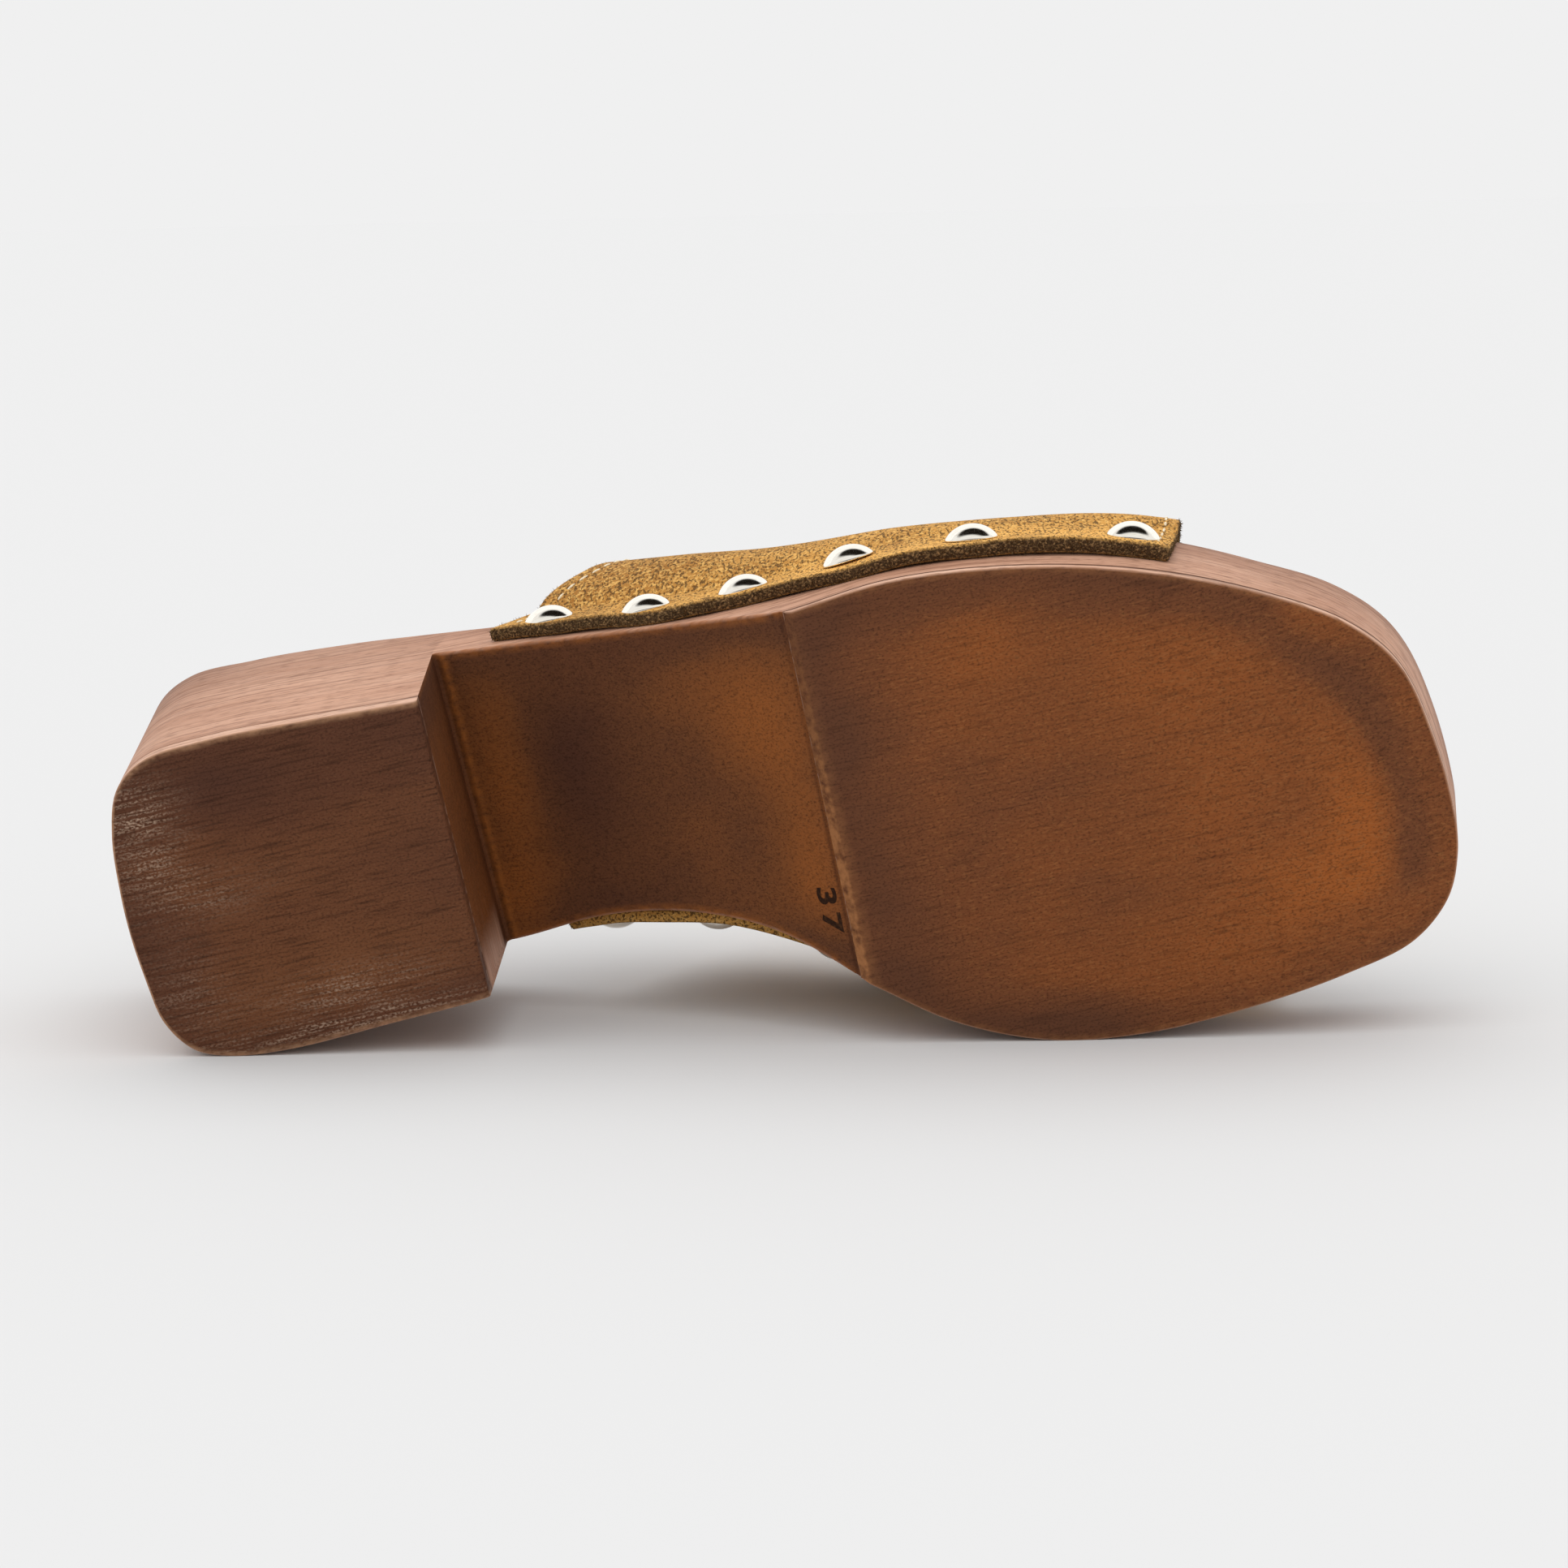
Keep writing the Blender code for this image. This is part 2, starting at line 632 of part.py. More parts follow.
def main():
    """Build every piece standing, then lay the shoe down."""
    clear_scene()
    carrier = bpy.data.objects.new("shoe", None)
    bpy.context.collection.objects.link(carrier)
    pieces = []

    sole = add_object("wood_sole", build_sole_blank(), make_material("stained_wood", STAINED_WOOD), carrier)
    cut = sole.modifiers.new("waist", "BOOLEAN")
    cut.operation = "DIFFERENCE"
    cut.solver = "EXACT"
    cut.object = build_waist_cutter(carrier)
    pieces.append((sole, STAINED_WOOD.density))

    forefoot = SoleLayer(RIDGE_X, TOE_TIP_X, STATIONS // 2)
    tread_mesh = build_thin_layer("forefoot_tread", forefoot, TREAD_THICKNESS, spring_height, TREAD_BEVEL)
    tread = add_object("forefoot_tread", tread_mesh, make_material("brown_tread", BROWN_TREAD), carrier)
    pieces.append((tread, BROWN_TREAD.density))

    heel = SoleLayer(HEEL_BACK_X, BREAST_X, STATIONS // 3)
    lift_mesh = build_thin_layer("heel_lift", heel, LIFT_THICKNESS, lambda x: 0.0)
    lift = add_object("heel_lift", lift_mesh, make_material("brown_lift", BROWN_LIFT), carrier)
    pieces.append((lift, BROWN_LIFT.density))

    vamp = add_object("suede_vamp", Vamp().build(), make_material("tan_suede", TAN_SUEDE), carrier)
    pieces.append((vamp, TAN_SUEDE.density))

    nail_mesh = build_nail_mesh()
    nail_mesh.materials.append(make_material("nickel", NICKEL))
    for edge, places in ((LATERAL, NAILS_LATERAL), (MEDIAL, NAILS_MEDIAL)):
        for number, x in enumerate(places, start=1):
            nail = place_nail(f"nail_{edge.name}_{number}", nail_mesh, edge, x, carrier)
            pieces.append((nail, NICKEL.density))

    bpy.context.view_layer.update()
    corners, centre = weigh(pieces)
    lay_down(carrier, corners, centre)


main()
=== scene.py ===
"""Looks of a clog mule for the right foot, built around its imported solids.

Shapes are worked out on the standing shoe, in millimetres: x runs from heel to toe, y towards the
medial (inner) side and z upwards from the floor under heel and ball. ShoeFrame turns them into the
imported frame, where the shoe lies on its medial side with its sole towards the camera.
"""

import json
import logging
import math
from dataclasses import dataclass, field
from enum import Enum
from typing import Any, Callable, Mapping, NamedTuple, Sequence

import bmesh
import bpy
import numpy as np
from mathutils import Matrix, Vector


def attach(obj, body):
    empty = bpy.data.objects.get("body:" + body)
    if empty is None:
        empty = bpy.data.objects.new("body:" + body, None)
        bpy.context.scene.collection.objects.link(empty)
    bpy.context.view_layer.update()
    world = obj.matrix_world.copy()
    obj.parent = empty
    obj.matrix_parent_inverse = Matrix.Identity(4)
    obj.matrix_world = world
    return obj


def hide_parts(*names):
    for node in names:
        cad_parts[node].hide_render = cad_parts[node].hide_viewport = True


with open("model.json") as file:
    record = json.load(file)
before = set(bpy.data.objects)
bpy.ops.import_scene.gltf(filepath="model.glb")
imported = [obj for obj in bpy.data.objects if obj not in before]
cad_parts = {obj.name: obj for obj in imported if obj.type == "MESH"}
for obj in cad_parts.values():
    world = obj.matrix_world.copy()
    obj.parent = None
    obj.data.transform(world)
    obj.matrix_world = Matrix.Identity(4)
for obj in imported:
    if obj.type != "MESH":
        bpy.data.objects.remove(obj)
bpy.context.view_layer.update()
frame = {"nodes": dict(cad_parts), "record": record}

MM = 0.001
BODY = "root"
LOG = logging.getLogger("clog_mule")

Curve = Callable[[np.ndarray], np.ndarray]


class Side(Enum):
    """The two sides of the shoe."""

    LATERAL = "lateral"
    MEDIAL = "medial"

    @property
    def outward(self) -> float:
        """Sign of y on the way out of the shoe."""
        return -1.0 if self is Side.LATERAL else 1.0


class EdgeRow(NamedTuple):
    """One place of the sole's outline: y at the floor, and how far the wall leans out at the rim."""

    x: float
    y: float
    flare: float


class RimRow(NamedTuple):
    """Height of the rim, and how deep the footbed is dished below it."""

    x: float
    height: float
    dish: float


class VampRow(NamedTuple):
    """One arch of the vamp: its two lower edges, its crown, and how far it swells past the sole."""

    x: float
    lower_lateral: float
    lower_medial: float
    crown_y: float
    crown_z: float
    swell_lateral: float
    swell_medial: float


class BorderRow(NamedTuple):
    """Front and rear edge of the vamp: climb is 0 at the lower edge, 1 at the rim, 2 at the crown."""

    climb: float
    front_lateral: float
    front_medial: float
    rear: float


class PatchRow(NamedTuple):
    """A soft patch of stain or wear: its middle, its reach along and across the shoe, and its strength."""

    x: float
    y: float
    along: float
    across: float
    strength: float


class CreaseRow(NamedTuple):
    """A soft trough across the vamp: its place on the crown, slant, width and depth."""

    x: float
    slant: float
    width: float
    depth: float


class CardRow(NamedTuple):
    """A card over the floor: name, colour, middle, and half its width and depth in metres."""

    name: str
    code: str
    x: float
    y: float
    wide: float
    deep: float


LATERAL_EDGE = (
    EdgeRow(1.9, 8.0, 5.0),
    EdgeRow(2.3, -1.0, 4.9),
    EdgeRow(3.8, -12.0, 4.4),
    EdgeRow(7.0, -20.3, 3.5),
    EdgeRow(13.0, -24.6, 2.2),
    EdgeRow(26.0, -25.8, 1.2),
    EdgeRow(45.0, -25.2, 1.0),
    EdgeRow(66.5, -24.1, 0.8),
    EdgeRow(100.0, -23.6, 0.5),
    EdgeRow(135.0, -24.6, 0.3),
    EdgeRow(157.0, -26.2, 0.4),
    EdgeRow(181.0, -23.2, 1.1),
    EdgeRow(204.0, -16.7, 2.3),
    EdgeRow(223.0, -7.8, 2.1),
    EdgeRow(237.0, 1.8, 3.1),
    EdgeRow(244.4, 11.5, 4.2),
    EdgeRow(248.0, 26.8, 5.0),
    EdgeRow(249.1, 42.0, 5.0),
)
MEDIAL_EDGE = (
    EdgeRow(1.9, 8.0, 5.0),
    EdgeRow(2.3, 16.5, 4.8),
    EdgeRow(3.4, 25.5, 4.1),
    EdgeRow(7.5, 31.9, 3.0),
    EdgeRow(14.0, 34.7, 1.8),
    EdgeRow(25.0, 35.9, 1.0),
    EdgeRow(45.0, 35.3, 0.8),
    EdgeRow(66.5, 34.2, 1.2),
    EdgeRow(86.0, 30.4, 3.2),
    EdgeRow(105.0, 31.4, 3.4),
    EdgeRow(119.5, 36.7, 2.0),
    EdgeRow(135.0, 47.7, 0.3),
    EdgeRow(150.0, 59.4, -0.5),
    EdgeRow(167.0, 67.0, -1.1),
    EdgeRow(185.0, 69.7, -1.3),
    EdgeRow(205.0, 69.2, -0.8),
    EdgeRow(224.0, 67.2, 0.5),
    EdgeRow(237.5, 64.1, 2.4),
    EdgeRow(245.0, 57.9, 3.8),
    EdgeRow(248.2, 50.2, 4.8),
    EdgeRow(249.1, 42.0, 5.0),
)
RIM = (
    RimRow(0.0, 66.5, 1.0),
    RimRow(20.0, 66.0, 3.0),
    RimRow(45.0, 64.0, 3.5),
    RimRow(60.0, 61.0, 3.0),
    RimRow(75.0, 55.8, 2.5),
    RimRow(90.0, 49.0, 2.0),
    RimRow(105.0, 41.6, 2.0),
    RimRow(120.0, 34.6, 2.2),
    RimRow(135.0, 29.6, 2.5),
    RimRow(155.0, 27.0, 2.5),
    RimRow(185.0, 26.6, 2.2),
    RimRow(215.0, 27.8, 1.8),
    RimRow(235.0, 30.2, 1.2),
    RimRow(249.1, 32.4, 0.8),
)
VAMP = (
    VampRow(77.0, 39.4, 40.5, 6.0, 116.0, 5.6, 4.0),
    VampRow(95.0, 30.2, 30.5, 9.0, 105.0, 5.6, 5.5),
    VampRow(115.0, 19.6, 22.5, 13.0, 93.5, 5.3, 8.0),
    VampRow(135.0, 15.0, 19.5, 18.0, 83.0, 3.8, 10.0),
    VampRow(155.0, 8.9, 17.5, 23.0, 74.0, 1.9, 7.4),
    VampRow(175.0, 9.2, 16.5, 26.0, 66.5, 1.5, 3.6),
    VampRow(195.0, 9.3, 16.0, 29.0, 60.5, 1.6, 2.2),
    VampRow(215.0, 9.0, 15.0, 32.0, 57.0, 2.4, 2.0),
)
VAMP_BORDER = (
    BorderRow(0.0, 206.8, 210.5, 77.5),
    BorderRow(1.0, 209.8, 213.5, 86.0),
    BorderRow(1.2, 210.4, 213.5, 96.5),
    BorderRow(1.5, 210.0, 212.0, 106.0),
    BorderRow(2.0, 208.5, 208.5, 114.0),
)
NAILS = {
    Side.LATERAL: (89.0, 109.0, 128.5, 149.5, 172.5, 201.5),
    Side.MEDIAL: (88.0, 109.5, 131.0, 153.0, 194.0),
}
FOREFOOT_PATCHES = (
    PatchRow(233.0, 38.0, 8.0, 14.0, 0.75),
    PatchRow(222.0, 50.0, 16.0, 10.0, 0.60),
    PatchRow(192.0, 57.0, 24.0, 8.0, 0.40),
    PatchRow(170.0, -10.0, 12.0, 7.0, 0.45),
    PatchRow(204.0, 2.0, 22.0, 10.0, 0.40),
    PatchRow(212.0, 26.0, 24.0, 22.0, 0.30),
    PatchRow(139.0, -2.0, 9.0, 30.0, -0.75),
    PatchRow(143.0, 36.0, 8.0, 20.0, -0.45),
    PatchRow(166.0, 65.0, 22.0, 7.0, -0.55),
)
WAIST_PATCHES = (
    PatchRow(73.0, 8.0, 6.0, 24.0, 0.75),
    PatchRow(127.0, -4.0, 9.0, 14.0, 0.80),
    PatchRow(116.0, -11.0, 13.0, 6.0, 0.15),
    PatchRow(130.0, 20.0, 6.0, 16.0, 0.60),
    PatchRow(108.0, 8.0, 14.0, 16.0, -0.12),
    PatchRow(88.0, 2.0, 10.0, 16.0, -0.75),
    PatchRow(69.0, 27.0, 4.0, 9.0, 0.85),
    PatchRow(104.0, 27.0, 26.0, 7.0, 0.10),
    PatchRow(118.0, 33.0, 14.0, 6.0, 0.40),
    PatchRow(131.0, 33.0, 5.0, 8.0, 0.35),
)
HEEL_PATCHES = (
    PatchRow(34.0, 24.0, 24.0, 8.0, 0.55),
    PatchRow(30.0, 4.0, 18.0, 9.0, 0.25),
    PatchRow(52.0, -14.0, 20.0, 10.0, -0.20),
    PatchRow(22.0, -16.0, 14.0, 7.0, -0.40),
    PatchRow(10.0, 20.0, 9.0, 14.0, -0.25),
)
HEEL_SCUFFS = (
    PatchRow(9.0, -15.0, 7.0, 6.0, 1.0),
    PatchRow(9.0, -4.0, 8.0, 5.0, 0.7),
    PatchRow(16.0, 3.0, 12.0, 4.0, 0.45),
    PatchRow(40.0, 27.0, 14.0, 4.0, 0.75),
    PatchRow(38.0, 33.5, 26.0, 2.0, 0.9),
    PatchRow(10.0, 22.0, 8.0, 10.0, 0.35),
)
VAMP_CREASES = (
    CreaseRow(138.0, 6.0, 7.0, 0.7),
    CreaseRow(158.0, -4.0, 6.0, 0.9),
    CreaseRow(177.0, 3.0, 5.0, 0.6),
)
CARDS = (
    CardRow("dark_card", "#1a1612", 0.13, 0.21, 0.94, 0.38),
    CardRow("grey_card", "#57524b", 0.0, -2.6, 4.0, 1.9),
)


def srgb(code: str) -> tuple[float, float, float, float]:
    """Turn an sRGB hex colour into linear light.

    Args:
        code: Six hex digits with a leading hash sign.

    Returns:
        Linear red, green, blue and an alpha of one.
    """
    shares = [int(code[i:i + 2], 16) / 255.0 for i in (1, 3, 5)]
    linear = [c / 12.92 if c <= 0.04045 else ((c + 0.055) / 1.055) ** 2.4 for c in shares]
    return (linear[0], linear[1], linear[2], 1.0)


def add_node(
    tree: bpy.types.NodeTree,
    kind: str,
    inputs: Mapping[Any, Any] | None = None,
    **settings: Any,
) -> bpy.types.Node:
    """Add one node with its settings, values and links.

    Args:
        tree: The node tree that takes the node.
        kind: Blender's name for the kind of node.
        inputs: Input name or number to a value, or to the output socket that feeds it.
        settings: Properties of the node itself.

    Returns:
        The new node.
    """
    node = tree.nodes.new(kind)
    for name, value in settings.items():
        setattr(node, name, value)
    for key, value in (inputs or {}).items():
        if isinstance(value, bpy.types.NodeSocket):
            tree.links.new(value, node.inputs[key])
        else:
            node.inputs[key].default_value = value
    return node


def smooth_curve(rows: Sequence[NamedTuple], column: str) -> Curve:
    """Draw a smooth curve, without overshoot, through one column of a table.

    Args:
        rows: The table, whose first column is the place.
        column: The column's name.

    Returns:
        A function of the place.
    """
    xs = np.array([row[0] for row in rows])
    ys = np.array([getattr(row, column) for row in rows])
    steps = np.diff(xs)
    slopes = np.diff(ys) / steps
    tangents = np.concatenate((slopes[:1], np.zeros(len(xs) - 2), slopes[-1:]))
    for i in range(1, len(xs) - 1):
        before, after = slopes[i - 1], slopes[i]
        if before * after > 0.0:
            weight_a = 2.0 * steps[i] + steps[i - 1]
            weight_b = steps[i] + 2.0 * steps[i - 1]
            tangents[i] = (weight_a + weight_b) / (weight_a / before + weight_b / after)

    def curve(x: np.ndarray) -> np.ndarray:
        """Read the curve at one or more places."""
        x = np.clip(x, xs[0], xs[-1])
        i = np.clip(np.searchsorted(xs, x) - 1, 0, len(xs) - 2)
        t = (x - xs[i]) / steps[i]
        start = ys[i] * (1.0 + 2.0 * t) * (1.0 - t) ** 2 + tangents[i] * steps[i] * t * (1.0 - t) ** 2
        end = ys[i + 1] * t * t * (3.0 - 2.0 * t) + tangents[i + 1] * steps[i] * t * t * (t - 1.0)
        return start + end

    return curve


def ease(share: np.ndarray) -> np.ndarray:
    """Ease a share from 0 to 1, level at both ends."""
    share = np.clip(share, 0.0, 1.0)
    return share * share * (3.0 - 2.0 * share)


def eased_stations(start: float, end: float, count: int, round_start: bool, round_end: bool) -> np.ndarray:
    """Space places along the sole closer together at an end that is round.

    Args:
        start: First place.
        end: Last place.
        count: Number of steps.
        round_start: True where the outline closes at the start.
        round_end: True where the outline closes at the end.

    Returns:
        The places, one more than the steps.
    """
    low = 0.0 if round_start else 0.5 * math.pi
    high = math.pi if round_end else 0.5 * math.pi
    if low == high:
        return np.linspace(start, end, count + 1)
    waves = np.cos(np.linspace(low, high, count + 1))
    return start + (end - start) * (waves[0] - waves) / (waves[0] - waves[-1])


def patch_sum(patches: Sequence[PatchRow], x: np.ndarray, y: np.ndarray) -> np.ndarray:
    """Add up soft patches at some places of the underside.

    Args:
        patches: The patches.
        x: Places along the shoe.
        y: Places across the shoe.

    Returns:
        Their strength at each place.
    """
    total = np.zeros_like(x)
    for patch in patches:
        reach = ((x - patch.x) / patch.along) ** 2 + ((y - patch.y) / patch.across) ** 2
        total += patch.strength * np.exp(-reach)
    return total


@dataclass(frozen=True)
class ShoeFrame:
    """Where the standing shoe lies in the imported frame, read from its two resting faces."""

    heel_place: tuple[float, float, float] = (33.0, 5.0, 0.0)
    forefoot_place: tuple[float, float, float] = (165.0, 22.0, 0.0)

    def matrix(self) -> Matrix:
        """Return the turn and shift from standing metres to packed metres."""
        mounts = {mount["name"]: mount for mount in frame["record"]["mounts"]}
        heel = Vector(mounts["heel_floor_face"]["pos_m"])
        forefoot = Vector(mounts["forefoot_floor_face"]["pos_m"])
        up = -Vector(mounts["heel_floor_face"]["axis"]).normalized()
        run = (forefoot - heel).normalized()
        plan = Vector(self.forefoot_place) - Vector(self.heel_place)
        turn = math.atan2(plan.y, plan.x)
        along = run * math.cos(turn) - up.cross(run) * math.sin(turn)
        rotation = Matrix((along, up.cross(along), up)).transposed()
        origin = heel - rotation @ (Vector(self.heel_place) * MM)
        return Matrix.Translation(origin) @ rotation.to_4x4()

    def place(self, points: np.ndarray) -> np.ndarray:
        """Turn standing millimetres into packed metres.

        Args:
            points: Points, with x, y and z along the last axis.

        Returns:
            An array of the same shape.
        """
        matrix = np.array(self.matrix())
        return points * MM @ matrix[:3, :3].T + matrix[:3, 3]

    def mapping(self) -> dict[str, Any]:
        """Return the Mapping node's values that turn packed metres back into standing millimetres."""
        back = self.matrix().inverted()
        return {
            "Location": back.to_translation() / MM,
            "Rotation": back.to_euler("XYZ"),
            "Scale": (1.0 / MM, 1.0 / MM, 1.0 / MM),
        }


SHOE = ShoeFrame()


@dataclass
class SoleEdge:
    """One side of the sole's outline: a round curve through the rows of its table."""

    rows: Sequence[EdgeRow]
    side: Side
    rim: Curve
    samples: int = 48
    normal_step: float = 0.4
    path: np.ndarray = field(init=False)
    flare: Curve = field(init=False)

    def __post_init__(self) -> None:
        """Sample the curve once."""
        self.flare = smooth_curve(self.rows, "flare")
        points = np.array([(row.x, row.y) for row in self.rows])
        before = (points[1][0], 2.0 * points[0][1] - points[1][1])
        after = (points[-2][0], 2.0 * points[-1][1] - points[-2][1])
        chain = np.vstack((before, points, after))
        spans = [self.span(chain[i:i + 4]) for i in range(len(points) - 1)]
        self.path = np.vstack((*spans, points[-1:]))

    def span(self, quad: np.ndarray) -> np.ndarray:
        """Sample one span of a centripetal Catmull-Rom curve.

        Args:
            quad: The span's four points.

        Returns:
            Points from the second one up to the third.
        """
        gaps = np.linalg.norm(np.diff(quad, axis=0), axis=1) ** 0.5
        k0, k1, k2, k3 = np.concatenate(([0.0], np.cumsum(gaps)))
        t = np.linspace(k1, k2, self.samples, endpoint=False)[:, None]

        def blend(first: np.ndarray, second: np.ndarray, low: float, high: float) -> np.ndarray:
            """Mix two points or curves between two knots."""
            return ((high - t) * first + (t - low) * second) / (high - low)

        knots = ((k0, k1), (k1, k2), (k2, k3))
        lower = [blend(quad[i], quad[i + 1], low, high) for i, (low, high) in enumerate(knots)]
        start = blend(lower[0], lower[1], k0, k2)
        end = blend(lower[1], lower[2], k1, k3)
        return blend(start, end, k1, k2)

    def y(self, x: np.ndarray) -> np.ndarray:
        """Return the edge's y at places along the sole."""
        return np.interp(x, self.path[:, 0], self.path[:, 1])

    def run(self, x: np.ndarray) -> np.ndarray:
        """Return the way along the edge from the back of the heel, below zero on the lateral side."""
        steps = np.linalg.norm(np.diff(self.path, axis=0), axis=1)
        return np.interp(x, self.path[1:, 0], np.cumsum(steps)) * self.side.outward

    def normal(self, x: np.ndarray) -> np.ndarray:
        """Return the outward direction in plan at places along the sole."""
        low = np.maximum(x - self.normal_step, self.path[0, 0])
        high = np.minimum(x + self.normal_step, self.path[-1, 0])
        run = np.stack((high - low, self.y(high) - self.y(low)), axis=-1)
        run /= np.linalg.norm(run, axis=-1, keepdims=True)
        return np.stack((-run[..., 1], run[..., 0]), axis=-1) * self.side.outward

    def wall(self, x: np.ndarray, height: np.ndarray, proud: np.ndarray | float) -> np.ndarray:
        """Return points of the side wall.

        Args:
            x: Places along the sole.
            height: Height of each point.
            proud: Distance out of the wall.

        Returns:
            One point for each place.
        """
        reach = self.flare(x) * height / self.rim(x) + proud
        plan = np.stack((x, self.y(x)), axis=-1) + self.normal(x) * reach[..., None]
        return np.concatenate((plan, np.broadcast_to(height, x.shape)[..., None]), axis=-1)


@dataclass
class SoleShape:
    """The sole's outline, rim and underside."""

    breast_x: float = 66.5
    breast_height: float = 39.0
    breast_fillet: float = 1.2
    breast_lean: float = 0.3
    ridge_x: float = 136.8
    arch_rise: float = 3.0
    lift_thickness: float = 4.0
    tread_thickness: float = 2.2
    tread_bevel: float = 1.8
    toe_spring: float = 5.5
    spring_start: float = 195.0
    bead_place: float = 2.1
    bead_height: float = 0.12
    bead_width: float = 0.55
    groove_place: float = 0.8
    groove_depth: float = 0.1
    seam_width: float = 0.30
    seam_depth: float = 0.28
    heel_middle: float = 5.0
    heel_half_width: float = 29.5
    breast_shear: tuple[float, float, float, float] = (1.1, 0.5, 0.8, -0.4)
    breast_reach: float = 12.0
    breast_fade: float = 18.0
    ridge_shift: float = 0.9
    ridge_start: float = -24.0
    ridge_skew: float = 48.0
    ridge_reach: float = 14.0
    ridge_height: float = 6.0
    ridge_fade: float = 12.0
    narrowest: float = 5.0
    rim: Curve = field(init=False)
    dish: Curve = field(init=False)
    edges: dict[Side, SoleEdge] = field(init=False)

    def __post_init__(self) -> None:
        """Draw the curves."""
        self.rim = smooth_curve(RIM, "height")
        self.dish = smooth_curve(RIM, "dish")
        self.edges = {
            Side.LATERAL: SoleEdge(LATERAL_EDGE, Side.LATERAL, self.rim),
            Side.MEDIAL: SoleEdge(MEDIAL_EDGE, Side.MEDIAL, self.rim),
        }

    @property
    def heel_x(self) -> float:
        """Back of the heel at the floor."""
        return LATERAL_EDGE[0].x

    @property
    def toe_x(self) -> float:
        """Tip of the toe at the floor."""
        return LATERAL_EDGE[-1].x

    def spring(self, x: np.ndarray) -> np.ndarray:
        """Return how far the toe spring lifts the underside."""
        share = np.maximum(x - self.spring_start, 0.0) / (self.toe_x - self.spring_start)
        return self.toe_spring * share ** 2

    def waist(self, x: np.ndarray) -> np.ndarray:
        """Return the height of the waist's underside: a bead at the breast and a seam at the ridge.

        Args:
            x: Places from breast to ridge.

        Returns:
            Heights over the floor.
        """
        share = (x - self.breast_x) / (self.ridge_x - self.breast_x)
        end_height = self.tread_thickness + 0.3
        height = self.breast_height + share * (end_height - self.breast_height)
        height = height + self.arch_rise * np.sin(math.pi * share)
        past = x - self.breast_x
        height = height - self.breast_fillet * np.maximum(0.0, 1.0 - past / self.breast_fillet) ** 2
        height = height - self.bead_height * np.exp(-((past - self.bead_place) / self.bead_width) ** 2)
        height = height + self.groove_depth * np.exp(-((past - self.groove_place) / self.bead_width) ** 2)
        seam = np.exp(-((x - self.ridge_x + 2.0 * self.seam_width) / self.seam_width) ** 2)
        return height + self.seam_depth * seam

    def settle(self, points: np.ndarray) -> np.ndarray:
        """Shear the breast and the ridge a little: both run askew across the sole.

        Args:
            points: Points of a layer, with the breast and the ridge square to the shoe.

        Returns:
            The points, still on the same outline.
        """
        x, y, z = np.moveaxis(points, -1, 0)
        skew = (y - self.heel_middle) / self.heel_half_width
        up = np.clip(z / self.breast_height, 0.0, 1.0)
        foot, foot_skew, climb, climb_skew = self.breast_shear
        breast = foot + foot_skew * skew + (climb + climb_skew * skew) * up
        breast = breast * np.exp(-((x - self.breast_x) / self.breast_reach) ** 2)
        breast = breast * (1.0 - ease((z - self.breast_height) / self.breast_fade))
        ridge = self.ridge_shift + (y - self.ridge_start) / self.ridge_skew
        ridge = ridge * np.exp(-((x - self.ridge_x) / self.ridge_reach) ** 2)
        ridge = ridge * (1.0 - ease((z - self.ridge_height) / self.ridge_fade))
        moved = x - breast - ridge
        low, high = (self.edges[side].y for side in Side)
        width = np.maximum(high(x) - low(x), self.narrowest)
        share = (y - low(x)) / width
        slide = low(moved) - low(x) + share * (high(moved) - low(moved) - high(x) + low(x))
        return np.stack((moved, y + slide, z), axis=-1)

    def rim_distance(self, x: np.ndarray, y: np.ndarray) -> np.ndarray:
        """Return how far places of the underside lie from the outline.

        Args:
            x: Places along the shoe.
            y: Places across the shoe.

        Returns:
            Distances in millimetres.
        """
        outline = np.vstack([edge.path[::8] for edge in self.edges.values()])
        nearest = np.full(x.shape, np.inf)
        for point in outline:
            nearest = np.minimum(nearest, (x - point[0]) ** 2 + (y - point[1]) ** 2)
        return np.sqrt(nearest)


class GridMesh:
    """A closed mesh made from rings of points, with named values on its points."""

    def __init__(self, name: str, grid: np.ndarray, values: Mapping[str, np.ndarray]) -> None:
        """Make the mesh.

        Args:
            name: The piece's name.
            grid: Standing millimetres, ring by ring; each ring closes on itself.
            values: Attribute name to one value for each point of the grid.
        """
        rings, count = grid.shape[:2]
        index = np.arange(rings * count).reshape(rings, count)
        after = np.roll(index, -1, axis=1)
        quads = np.stack((index[:-1], after[:-1], after[1:], index[1:]), axis=-1).reshape(-1, 4)
        self.mesh = bpy.data.meshes.new(name)
        self.mesh.from_pydata(SHOE.place(grid).reshape(-1, 3).tolist(), [], quads.tolist())
        for key, value in values.items():
            attribute = self.mesh.attributes.new(key, "FLOAT", "POINT")
            attribute.data.foreach_set("value", np.ascontiguousarray(value, dtype=np.float32).ravel())

    def finish(self, sharp_degrees: float) -> bpy.types.Mesh:
        """Close the ends, turn the faces outwards and shade the mesh.

        Args:
            sharp_degrees: Edges that bend more than this stay sharp.

        Returns:
            The finished mesh.
        """
        bm = bmesh.new()
        bm.from_mesh(self.mesh)
        bmesh.ops.remove_doubles(bm, verts=bm.verts, dist=2e-6)
        bmesh.ops.dissolve_degenerate(bm, edges=bm.edges, dist=1e-7)
        bmesh.ops.recalc_face_normals(bm, faces=bm.faces)
        bm.to_mesh(self.mesh)
        bm.free()
        self.mesh.shade_smooth()
        self.mesh.set_sharp_from_angle(angle=math.radians(sharp_degrees))
        return self.mesh


